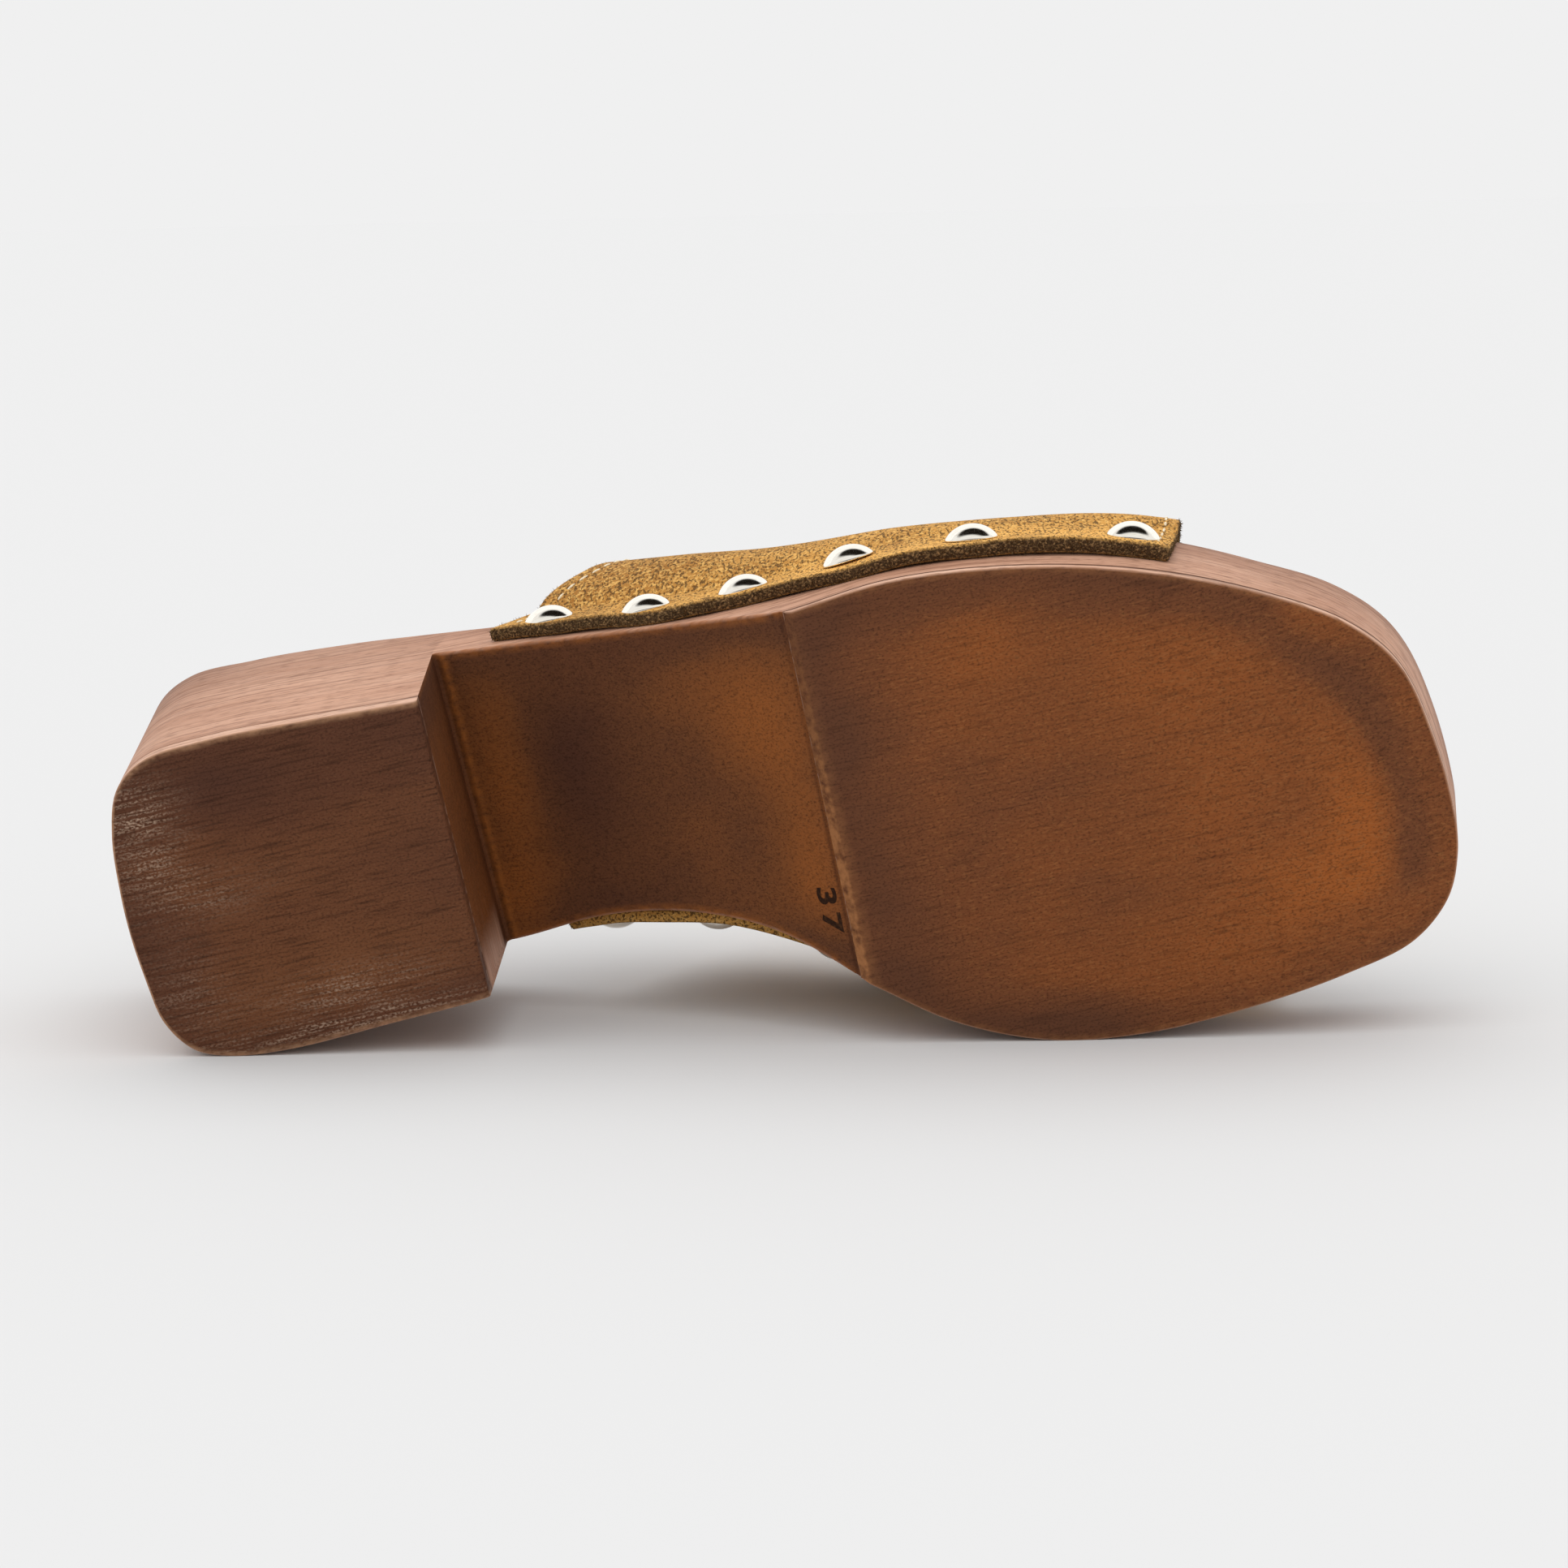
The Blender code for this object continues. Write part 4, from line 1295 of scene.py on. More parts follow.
@dataclass
class WoodenSole:
    """The carved sole with its tread and lift."""

    shape: SoleShape
    seam: float = 0.06
    proud: float = 0.25
    heel_steps: int = 60
    forefoot_steps: int = 90
    breast_rows: int = 14
    corner_rows: int = 26
    waist_rows: int = 46
    seam_rows: int = 16
    corner_reach: float = 5.0
    seam_reach: float = 2.5
    ridge_gap: float = 0.02
    edge_round: float = 0.2
    waist_round: float = 0.5
    round_rear: float = 2.0
    round_front: float = 6.0
    rim_round: float = 2.6
    layer_round: float = 0.4
    tread_top_round: float = 0.25
    lift_top_round: float = 0.2
    bevel_rows: int = 12
    bevel_bend: float = 1.4
    turn_rows: int = 6
    face_rows: int = 5
    face_lean: float = 0.01
    sharp: float = 32.0
    wear: SoleWear = SoleWear()

    def wood_path(self) -> tuple[np.ndarray, np.ndarray]:
        """Return the wood's underside from heel to toe, and how round its lower edge is at each place."""
        shape = self.shape
        heel_x = eased_stations(shape.heel_x, shape.breast_x, self.heel_steps, True, False)
        heel = np.stack((heel_x, np.full_like(heel_x, shape.lift_thickness + self.seam)), axis=1)
        rise = np.linspace(0.0, 1.0, self.breast_rows)[1:]
        breast_top = float(shape.waist(np.array(shape.breast_x + shape.breast_lean)))
        breast_z = heel[-1, 1] + rise * (breast_top - heel[-1, 1])
        breast = np.stack((shape.breast_x + shape.breast_lean * rise, breast_z), axis=1)
        corner_end = shape.breast_x + self.corner_reach
        seam_start = shape.ridge_x - self.seam_reach
        corner_x = np.linspace(shape.breast_x + shape.breast_lean, corner_end, self.corner_rows)[1:]
        waist_x = np.linspace(corner_end, seam_start, self.waist_rows)[1:]
        seam_x = np.linspace(seam_start, shape.ridge_x - self.ridge_gap, self.seam_rows)[1:]
        waist_x = np.concatenate((corner_x, waist_x, seam_x))
        waist = np.stack((waist_x, shape.waist(waist_x)), axis=1)
        toe_start = shape.ridge_x + self.ridge_gap
        toe_x = eased_stations(toe_start, shape.toe_x, self.forefoot_steps, False, True)
        toe = np.stack((toe_x, shape.spring(toe_x) + shape.tread_thickness + self.seam), axis=1)
        path = np.concatenate((heel, breast, waist, toe))
        inside = ease((path[:, 0] - shape.breast_x) / self.round_rear)
        inside = inside * ease((shape.ridge_x - path[:, 0]) / self.round_front)
        return path, self.edge_round + self.waist_round * inside

    def tread_path(self) -> np.ndarray:
        """Return the tread's underside, from the bevel at its rear to the toe."""
        shape = self.shape
        share = np.linspace(0.0, 1.0, self.bevel_rows)
        bevel_z = shape.tread_thickness * (1.0 - share) ** self.bevel_bend
        bevel = np.stack((shape.ridge_x + shape.tread_bevel * share, bevel_z), axis=1)
        start = shape.ridge_x + shape.tread_bevel
        x = eased_stations(start, shape.toe_x, self.forefoot_steps, False, True)[1:]
        return np.concatenate((bevel, np.stack((x, shape.spring(x)), axis=1)))

    def lift_path(self, softening: float = 0.8) -> np.ndarray:
        """Return the lift's underside, from the back of the heel to the foot of the breast.

        Args:
            softening: Radius of its front edge.

        Returns:
            Places and heights.
        """
        shape = self.shape
        x = eased_stations(shape.heel_x, shape.breast_x - softening, self.heel_steps, True, False)
        flat = np.stack((x, np.zeros_like(x)), axis=1)
        angle = np.linspace(0.0, 0.5 * math.pi, self.turn_rows)[1:]
        turn_x = shape.breast_x - softening * (1.0 - np.sin(angle))
        turn = np.stack((turn_x, softening * (1.0 - np.cos(angle))), axis=1)
        face_z = np.linspace(softening, shape.lift_thickness, self.face_rows)[1:]
        face_x = shape.breast_x + self.face_lean * face_z / shape.lift_thickness
        face = np.stack((face_x, face_z), axis=1)
        return np.concatenate((flat, turn, face))

    def warmth(self, grid: np.ndarray, patches: Sequence[PatchRow], burnish: float) -> np.ndarray:
        """Return the warmth of the stain: patches, darker along the edge.

        Args:
            grid: Points of a layer.
            patches: Its patches.
            burnish: How dark the edge is.

        Returns:
            Warmth at each point.
        """
        wear = self.wear
        x, y = grid[..., 0], grid[..., 1]
        rim = self.shape.rim_distance(x, y)
        toe = ease((x - wear.toe_start) / wear.toe_reach) * ease((wear.toe_side - y) / wear.toe_side_reach)
        edge = np.exp(-(rim / wear.edge_reach) ** 2) * (1.0 - toe)
        band = np.exp(-((rim - wear.band_place) / wear.band_reach) ** 2) * toe
        bare = wear.bare_share * ease((y - wear.bare_side) / wear.bare_side_reach)
        bare = bare * ease((x - wear.bare_start) / wear.bare_reach)
        edge = edge * (1.0 - bare)
        return patch_sum(patches, x, y) - burnish * (edge + wear.band_strength * band)

    def build_wood(self) -> None:
        """Build the carved wood and dress it."""
        shape, wear = self.shape, self.wear
        path, foot_round = self.wood_path()
        top = shape.rim(path[:, 0])
        slab = SoleSlab(shape, path, top, self.proud, foot_round, self.rim_round, dished=True, wall_rows=16)
        grid, zones = slab.grid()
        side = grid[..., 1]
        past = path[:, 0] - shape.breast_x
        beyond = past > wear.touching
        open_waist = (beyond & (path[:, 0] < shape.ridge_x))[:, None]
        low = path[:, 1] < shape.breast_height - wear.breast_margin
        breast = (beyond & low & (past < wear.breast_run))[:, None]
        bare = wear.rubbed_share * breast * ease((side - wear.rubbed_side) / wear.rubbed_reach)
        # Painted shade: a dark line in the corner where the breast meets the waist, and along the groove
        # before the ridge, stronger towards the medial side.
        corner = np.exp(-((past - wear.corner_place) / wear.corner_width) ** 2)
        corner = corner * ease((path[:, 1] - wear.corner_height) / wear.corner_fade)
        before = path[:, 0] - shape.ridge_x + 2.0 * shape.seam_width
        ridge = np.exp(-(before / wear.ridge_width) ** 2)
        bead = np.exp(-((past - shape.bead_place) / wear.bead_width) ** 2)
        worn = wear.ridge_least + wear.ridge_more * ease((side - wear.ridge_side) / wear.ridge_reach)
        corner_shade = np.clip(corner[:, None] + ridge[:, None] * worn, 0.0, 1.0)
        # Painted shade: the wall is painted darker towards its top, less so near the breast. Towards the back
        # of the heel the whole wall is a little darker.
        top_shade_scale = (1.0 - wear.breast_lighten_share * np.exp(-(past / wear.breast_lighten_reach) ** 2))[:, None]
        rear = 1.0 - ease((path[:, 0] - wear.rear_dark_start) / wear.rear_dark_reach)
        stained = wear.rear_dark_share * rear[:, None]
        ahead = ease((past + wear.ahead_place) / wear.ahead_reach)[:, None]
        # Painted highlight on the breast bead and on the lower edge round of the open waist; the seam colour
        # on the foot round marks the joints with the lift and the tread.
        bead_trim = wear.bead_trim * bead[:, None] * zones["under"]
        waist_shade = wear.waist_shade * corner_shade * zones["under"]
        foot_seam = (wear.heel_seam + wear.toe_seam * ahead) * zones["foot"]
        values = {
            **{key: zones[key] for key in ("run", "top")},
            "under": zones["under"] * (1.0 - bare),
            "rise": np.clip(top_shade_scale * zones["rise"] ** wear.rise_power + stained, 0.0, wear.rise_cap),
            "warmth": self.warmth(grid, WAIST_PATCHES, wear.wood_burnish),
            "scuff": np.zeros(grid.shape[:2]),
            "trim": np.maximum(bead_trim, wear.waist_trim * zones["foot"] * open_waist),
            "seam": np.where(open_waist, waist_shade, foot_seam),
        }
        wood = GridMesh("wood_sole_body", grid, values).finish(self.sharp)
        add_piece(wood, StainedSole("stained_alder").build(), ("wood_sole",))

    def build_tread(self) -> None:
        """Build the forefoot tread and dress it."""
        shape, wear = self.shape, self.wear
        path = self.tread_path()
        top = shape.spring(path[:, 0]) + shape.tread_thickness
        rounds = (self.layer_round, self.tread_top_round)
        slab = SoleSlab(shape, path, top, self.proud, *rounds, wall_rows=4, columns=70)
        grid, zones = slab.grid()
        # Painted highlight: the bevel at the tread's rear is painted lighter, more towards the medial side,
        # and so is the tread's lower edge round.
        behind = path[:, 0] - shape.ridge_x - shape.tread_bevel + wear.bevel_end
        bevel = 1.0 - ease(behind / wear.bevel_run)
        worn = wear.bevel_least + wear.bevel_more * ease((grid[..., 1] - wear.bevel_side) / wear.bevel_reach)
        values = {
            **{key: zones[key] for key in ("under", "run", "top")},
            "rise": np.zeros(grid.shape[:2]),
            "warmth": self.warmth(grid, FOREFOOT_PATCHES, wear.tread_burnish),
            "scuff": np.zeros(grid.shape[:2]),
            "trim": np.maximum(bevel[:, None] * worn, wear.tread_trim * zones["foot"]),
            "seam": wear.tread_seam * zones["brow"],
        }
        tread = GridMesh("forefoot_tread_sheet", grid, values).finish(self.sharp)
        finish = StainedSole(
            "burnished_tread",
            wall="#c89c83",
            wall_light="#e3bca4",
            dark="#5d3a28",
            middle="#724328",
            warm="#965427",
            fleck="#946038",
            streak=0.32,
            fleck_length=1.3,
            sparkle=0.5,
            trim="#a06c44",
        )
        add_piece(tread, finish.build(), ("forefoot_tread",))

    def build_lift(self) -> None:
        """Build the heel lift and dress it."""
        shape, wear = self.shape, self.wear
        path = self.lift_path()
        top = np.full(len(path), shape.lift_thickness)
        rounds = (self.layer_round, self.lift_top_round)
        slab = SoleSlab(shape, path, top, self.proud, *rounds, wall_rows=5, columns=60)
        grid, zones = slab.grid()
        front = ease((path[:, 0] - wear.breast_seam_start) / wear.breast_seam_reach)[:, None]
        # Painted highlight along the lift's lower edge round; the seam colour marks its joint with the wood,
        # darker at the breast corner.
        values = {
            **{key: zones[key] for key in ("under", "run", "top")},
            "rise": np.zeros(grid.shape[:2]),
            "warmth": self.warmth(grid, HEEL_PATCHES, wear.lift_burnish),
            "scuff": patch_sum(HEEL_SCUFFS, grid[..., 0], grid[..., 1]),
            "trim": wear.lift_trim * zones["foot"],
            "seam": (wear.lift_seam + wear.breast_seam * front) * zones["brow"],
        }
        lift = GridMesh("heel_lift_piece", grid, values).finish(self.sharp)
        finish = StainedSole(
            "streaked_lift",
            wall="#c89c83",
            wall_light="#e3bca4",
            dark="#4b2f24",
            middle="#5f3a27",
            warm="#774b2e",
            fleck="#745038",
            streak=0.55,
            trim="#ab8262",
        )
        add_piece(lift, finish.build(), ("heel_lift",))

    def build(self) -> None:
        """Build the wood, the tread and the lift."""
        self.build_wood()
        self.build_tread()
        self.build_lift()


@dataclass
class SizeStamp:
    """The size number pressed into the waist beside the ridge."""

    shape: SoleShape
    number: str = "37"
    x: float = 133.1
    y: float = 34.9
    digit_height: float = 6.4
    digit_stretch: float = 1.35
    relief: float = 0.03
    spacing: float = 1.25
    weight: float = 0.15

    def build(self) -> None:
        """Build the number as a thin mesh that follows the waist."""
        words = bpy.data.curves.new("size_stamp", "FONT")
        words.body = self.number
        words.size = self.digit_height
        words.align_x = "CENTER"
        words.align_y = "CENTER"
        words.extrude = self.relief
        words.space_character = self.spacing
        words.offset = self.weight
        writer = bpy.data.objects.new("size_stamp_text", words)
        bpy.context.scene.collection.objects.link(writer)
        graph = bpy.context.evaluated_depsgraph_get()
        mesh = bpy.data.meshes.new_from_object(writer.evaluated_get(graph), depsgraph=graph)
        bpy.data.objects.remove(writer)
        mesh.name = "size_stamp"
        flat = np.array([vertex.co for vertex in mesh.vertices])
        step = 0.2
        ahead, behind = (self.shape.waist(np.array(self.x + way)) for way in (step, -step))
        slope = (ahead - behind) / (2.0 * step)
        along = np.array((1.0, 0.0, float(slope))) / math.hypot(1.0, float(slope))
        across = np.array((0.0, 1.0, 0.0))
        out = np.cross(across, along)
        middle = np.array((self.x, self.y, float(self.shape.waist(np.array(self.x)))))
        wide = self.digit_stretch * flat[:, :1]
        placed = middle + wide * across + flat[:, 1:2] * along + flat[:, 2:] * out
        surface = self.shape.waist(placed[:, 0])
        placed[:, 2] = surface - flat[:, 2] * abs(out[2])
        mesh.vertices.foreach_set("co", SHOE.place(self.shape.settle(placed)).astype(np.float32).ravel())
        mesh.update()
        add_piece(mesh, BurntStamp().build())


@dataclass
class SuedeBand:
    """The suede vamp: one thick band over the foot, nailed along both lower edges."""

    shape: SoleShape
    gap: float = 0.3
    thickness: float = 1.6
    edge_round: float = 0.4
    swell_reach: float = 2.4
    shoulder_top: float = 0.72
    rows: int = 100
    wall_columns: int = 12
    arch_columns: int = 48
    pucker: float = 0.4
    pucker_reach: float = 8.0
    nail_hold: float = 6.5
    ripple: float = 0.14
    hem_extra: float = 0.95
    front_extra: float = 0.35
    hem_reach: float = 6.5
    highlight_below: float = 7.0
    shade_above: float = 22.0
    front_inset: float = 2.4
    rear_inset: float = 3.6
    stitch_pitch: float = 3.6
    stitch_length: float = 2.5
    thread: float = 0.55
    fibre_length: float = 0.6
    fibre_width: float = 0.07
    fibres_per_mm2: float = 6.0
    seed: int = 5
    shoulder_medial: float = 0.95
    shoulder_lateral: float = 0.55
    front_start: float = 165.0
    front_fade: float = 15.0
    end_rows: float = 6.0
    crease_start: float = 0.35
    crease_fade: float = 0.3
    fine_length: float = 8.5
    fine_turn: float = 9.0
    broad_length: float = 21.0
    broad_turn: float = 17.0
    cut_bulge: float = 1.15
    climb_shade: float = 0.6
    rear_shade: float = 0.55
    rear_start: float = 150.0
    rear_fade: float = 60.0
    sharp: float = 70.0
    curves: dict[str, Curve] = field(init=False)
    height: np.ndarray = field(init=False)
    normals: np.ndarray = field(init=False)
    inner: np.ndarray = field(init=False)
    outer: np.ndarray = field(init=False)

    def __post_init__(self) -> None:
        """Draw the curves and work out both faces."""
        self.curves = {name: smooth_curve(VAMP, name) for name in VampRow._fields[1:]}
        plain = self.plain_grid()
        around = np.gradient(plain, axis=1)
        normals = np.cross(around, np.gradient(plain, axis=0))
        self.normals = normals / np.linalg.norm(normals, axis=2, keepdims=True)
        steps = np.linalg.norm(np.diff(plain, axis=1), axis=2)
        run = np.concatenate((np.zeros((len(plain), 1)), np.cumsum(steps, axis=1)), axis=1)
        self.height = np.minimum(run, run[:, -1:] - run)
        self.inner = plain + self.normals * self.relief(plain)[..., None]
        extra = self.hem_extra + self.front_extra * ease((plain[..., 0] - self.front_start) / self.front_fade)
        thick = self.thickness + extra * np.exp(-(self.height / self.hem_reach) ** 2)
        self.outer = self.inner + self.normals * thick[..., None]

    @property
    def columns(self) -> int:
        """Steps from one lower edge over the crown to the other."""
        return 2 * (self.wall_columns + self.arch_columns)

    def climb(self, column: int) -> tuple[Side, float]:
        """Return the side and the climb of a column of the grid."""
        side = Side.MEDIAL if column > self.columns // 2 else Side.LATERAL
        step = self.columns - column if side is Side.MEDIAL else column
        if step <= self.wall_columns:
            return side, step / self.wall_columns
        return side, 1.0 + (step - self.wall_columns) / self.arch_columns

    def arch(self, side: Side, x: np.ndarray, climb: float) -> np.ndarray:
        """Return points of the inner face.

        Args:
            side: The side of the foot.
            x: Places along the sole.
            climb: 0 to 1 up the wall, 1 to 2 over the arch to the crown.

        Returns:
            One point for each place.
        """
        edge = self.shape.edges[side]
        rim = self.shape.rim(x)
        if climb <= 1.0:
            lower = self.curves["lower_" + side.value](x)
            return edge.wall(x, lower + climb * (rim - lower), self.gap)
        shoulder_side = self.shoulder_medial if side is Side.MEDIAL else self.shoulder_lateral
        foot = edge.wall(x, rim, self.gap)
        crown = np.stack((x, self.curves["crown_y"](x), self.curves["crown_z"](x)), axis=-1)
        swell = self.curves["swell_" + side.value](x) * self.swell_reach
        shoulder = foot.copy()
        shoulder[:, :2] += edge.normal(x) * swell[:, None]
        shoulder[:, 2] += shoulder_side * (crown[:, 2] - rim)
        top = crown + (foot - crown) * np.array((self.shoulder_top, self.shoulder_top, 0.0))
        t = climb - 1.0
        rest = 1.0 - t
        low = rest ** 3 * foot + 3.0 * rest ** 2 * t * shoulder
        return low + 3.0 * rest * t ** 2 * top + t ** 3 * crown

    def plain_grid(self) -> np.ndarray:
        """Return the inner face without folds, a row for each step from front to rear."""
        rear = smooth_curve(VAMP_BORDER, "rear")
        share = np.linspace(0.0, 1.0, self.rows + 1)
        columns = []
        for j in range(self.columns + 1):
            side, climb = self.climb(j)
            front = float(smooth_curve(VAMP_BORDER, "front_" + side.value)(climb))
            columns.append(self.arch(side, front + (float(rear(climb)) - front) * share, climb))
        return np.stack(columns, axis=1)

    def relief(self, plain: np.ndarray) -> np.ndarray:
        """Return how far the suede stands off its plain form: puckers between nails, creases and ripples.

        Args:
            plain: The plain inner face.

        Returns:
            Millimetres along the normal.
        """
        half = self.columns // 2
        lift = np.zeros(plain.shape[:2])
        x = plain[..., 0]
        for side, part in ((Side.LATERAL, slice(0, half + 1)), (Side.MEDIAL, slice(half, None))):
            nearest = np.min([np.abs(x[:, part] - nail) for nail in NAILS[side]], axis=0)
            free = 1.0 - np.exp(-(nearest / self.nail_hold) ** 2)
            lift[:, part] = self.pucker * free * np.exp(-(self.height[:, part] / self.pucker_reach) ** 2)
        step = np.arange(self.rows + 1)
        ends = np.minimum(step, step[::-1])[:, None] / self.end_rows
        lift *= ease(ends)
        middle = 1.0 - np.abs(np.linspace(-1.0, 1.0, self.columns + 1))
        over = ease((middle - self.crease_start) / self.crease_fade)[None, :]
        for crease in VAMP_CREASES:
            line = crease.x + crease.slant * np.linspace(-1.0, 1.0, self.columns + 1)[None, :]
            lift -= over * crease.depth * np.exp(-((x - line) / crease.width) ** 2)
        fine = np.sin(x / self.fine_length + self.fine_turn * middle[None, :])
        broad = np.sin(x / self.broad_length + self.broad_turn * middle[None, :])
        wave = fine * broad
        return lift + self.ripple * wave * ease(ends)

    def shell(self) -> tuple[np.ndarray, dict[str, np.ndarray]]:
        """Return the closed wall of the band as rings, with its values.

        Returns:
            The grid, and the values cut, inside, upper and nap.
        """
        middle = 0.5 * (self.inner + self.outer)
        soft = self.edge_round
        faces = {"outer": self.outer, "inner": self.inner}
        down = {}
        for name, first, second in (("lateral", 0, 1), ("medial", -1, -2)):
            run = middle[:, first] - middle[:, second]
            down[name] = run / np.linalg.norm(run, axis=1, keepdims=True)

        def hem(name: str, column: int) -> np.ndarray:
            """Return the three points across a lower cut edge, from outer to inner."""
            inwards = (middle - self.outer)[:, column]
            inwards = inwards / np.linalg.norm(inwards, axis=1, keepdims=True)
            outer = faces["outer"][:, column] + soft * (down[name] + inwards)
            inner = faces["inner"][:, column] + soft * (down[name] - inwards)
            return np.stack((outer, middle[:, column] + self.cut_bulge * soft * down[name], inner), axis=1)

        rings = np.concatenate(
            (self.outer, hem("medial", -1), self.inner[:, ::-1], hem("lateral", 0)[:, ::-1]), axis=1
        )
        count = self.columns + 1
        flat = np.concatenate(
            (
                middle,
                np.repeat(middle[:, -1:], 3, axis=1),
                middle[:, ::-1],
                np.repeat(middle[:, :1], 3, axis=1),
            ),
            axis=1,
        )
        caps = []
        for first, second in ((0, 1), (-1, -2)):
            ahead = flat[first] - flat[second]
            ahead = ahead / np.linalg.norm(ahead, axis=1, keepdims=True)
            inwards = flat[first] - rings[first]
            reach = np.linalg.norm(inwards, axis=1, keepdims=True)
            inwards = inwards / np.maximum(reach, 1e-9)
            shoulder = rings[first] + soft * ahead + np.minimum(soft, 0.8 * reach) * inwards
            caps.append((shoulder, flat[first] + self.cut_bulge * soft * ahead))
        grid = np.concatenate(
            (caps[0][1][None], caps[0][0][None], rings, caps[1][0][None], caps[1][1][None]), axis=0
        )
        cut = np.zeros(grid.shape[:2])
        cut[:, (0, count - 1)] = 0.6
        cut[:, count:count + 3] = 0.5
        cut[:, 2 * count + 3:] = 1.0
        cut[:2] = 1.0
        cut[-2:] = 1.0
        inside = np.zeros(grid.shape[:2])
        inside[2:-2, count + 3:2 * count + 3] = 1.0
        upper = np.zeros(grid.shape[:2])
        # Painted light: this value is 0 at the lower edges, where the suede is painted lighter as a painted
        # highlight, and grows up the band and towards the rear, where it is painted darker as painted shade.
        climbed = ease((self.height - self.highlight_below) / (self.shade_above - self.highlight_below))
        rear = ease((self.rear_start - self.outer[..., 0]) / self.rear_fade)
        upper[2:-2, :count] = self.climb_shade * climbed + self.rear_shade * rear
        clear = SHOE.place(grid)[..., 2] > 2.0 * self.fibre_length * MM
        nap = np.where(clear, np.floor(cut), 0.0)
        return grid, {"cut": cut, "inside": inside, "upper": upper, "nap": nap}

    def stitch_lines(self) -> bpy.types.Mesh:
        """Return the two rows of stitches as lines on the outer face, in packed metres."""
        points, links = [], []
        skip = self.wall_columns // 3
        for face, inset in ((self.outer, self.front_inset), (self.outer[::-1], self.rear_inset)):
            steps = np.linalg.norm(np.diff(face, axis=0), axis=2)
            run = np.concatenate((np.zeros((1, face.shape[1])), np.cumsum(steps, axis=0)), axis=0)
            start = len(points)
            for j in range(skip, self.columns + 1 - skip):
                points.append([np.interp(inset, run[:, j], face[:, j, k]) for k in range(3)])
            links.extend((i, i + 1) for i in range(start, len(points) - 1))
        mesh = bpy.data.meshes.new("stitch_lines")
        mesh.from_pydata(SHOE.place(np.array(points)).tolist(), links, [])
        return mesh

    def stitch_tree(self) -> bpy.types.NodeTree:
        """Build the tree that lays stitches along lines."""
        tree, start = new_geometry_tree(
            "stitches",
            {
                "Pitch": "NodeSocketFloat",
                "Length": "NodeSocketFloat",
                "Thread": "NodeSocketFloat",
                "Material": "NodeSocketMaterial",
            },
        )
        line = add_node(tree, "GeometryNodeMeshToCurve", {"Mesh": start.outputs["Geometry"]})
        spaced = add_node(
            tree,
            "GeometryNodeResampleCurve",
            {"Curve": line.outputs["Curve"], "Length": start.outputs["Pitch"]},
            mode="LENGTH",
        )
        ball = add_node(tree, "GeometryNodeMeshUVSphere", {"Segments": 8, "Rings": 8, "Radius": 0.5})
        size = add_node(
            tree,
            "ShaderNodeCombineXYZ",
            {"X": start.outputs["Length"], "Y": start.outputs["Thread"], "Z": start.outputs["Thread"]},
        )
        stitch = add_node(
            tree,
            "GeometryNodeTransform",
            {"Geometry": ball.outputs["Mesh"], "Scale": size.outputs["Vector"]},
        )
        way = add_node(tree, "GeometryNodeInputTangent")
        turn = add_node(
            tree, "FunctionNodeAlignRotationToVector", {"Vector": way.outputs["Tangent"]}, axis="X"
        )
        laid = add_node(
            tree,
            "GeometryNodeInstanceOnPoints",
            {
                "Points": spaced.outputs["Curve"],
                "Instance": stitch.outputs["Geometry"],
                "Rotation": turn.outputs["Rotation"],
            },
        )
        close_geometry_tree(tree, start, laid.outputs["Instances"])
        return tree

    def fibre_tree(self) -> bpy.types.NodeTree:
        """Build the tree that grows loose fibres, densest on the cut edges."""
        tree, start = new_geometry_tree(
            "suede_fibres",
            {
                "Density": "NodeSocketFloat",
                "Length": "NodeSocketFloat",
                "Width": "NodeSocketFloat",
                "Seed": "NodeSocketInt",
                "Material": "NodeSocketMaterial",
            },
        )
        nap = add_node(tree, "GeometryNodeInputNamedAttribute", {"Name": "nap"}, data_type="FLOAT")
        density = add_node(
            tree,
            "ShaderNodeMath",
            {0: nap.outputs["Attribute"], 1: start.outputs["Density"]},
            operation="MULTIPLY",
        )
        roots = add_node(
            tree,
            "GeometryNodeDistributePointsOnFaces",
            {
                "Mesh": start.outputs["Geometry"],
                "Density": density.outputs["Value"],
                "Seed": start.outputs["Seed"],
            },
        )
        hair = add_node(
            tree,
            "GeometryNodeMeshCone",
            {
                "Vertices": 3,
                "Radius Top": 0.0,
                "Radius Bottom": start.outputs["Width"],
                "Depth": start.outputs["Length"],
            },
        )
        lean = add_node(
            tree,
            "FunctionNodeRandomValue",
            {0: (-1.25, -1.25, -3.1), 1: (1.25, 1.25, 3.1), "Seed": start.outputs["Seed"]},
            data_type="FLOAT_VECTOR",
        )
        tilt = add_node(tree, "FunctionNodeEulerToRotation", {"Euler": lean.outputs[0]})
        turn = add_node(
            tree,
            "FunctionNodeRotateRotation",
            {"Rotation": roots.outputs["Rotation"], "Rotate By": tilt.outputs["Rotation"]},
            rotation_space="LOCAL",
        )
        size = add_node(
            tree,
            "FunctionNodeRandomValue",
            {2: 0.5, 3: 1.25, "Seed": start.outputs["Seed"]},
            data_type="FLOAT",
        )
        grown = add_node(
            tree,
            "GeometryNodeInstanceOnPoints",
            {
                "Points": roots.outputs["Points"],
                "Instance": hair.outputs["Mesh"],
                "Rotation": turn.outputs["Rotation"],
                "Scale": size.outputs[1],
            },
        )
        close_geometry_tree(tree, start, grown.outputs["Instances"])
        return tree

    def build(self) -> None:
        """Build the band, its stitches and its loose fibres, and dress them."""
        grid, values = self.shell()
        mesh = GridMesh("suede_band", grid, values).finish(self.sharp)
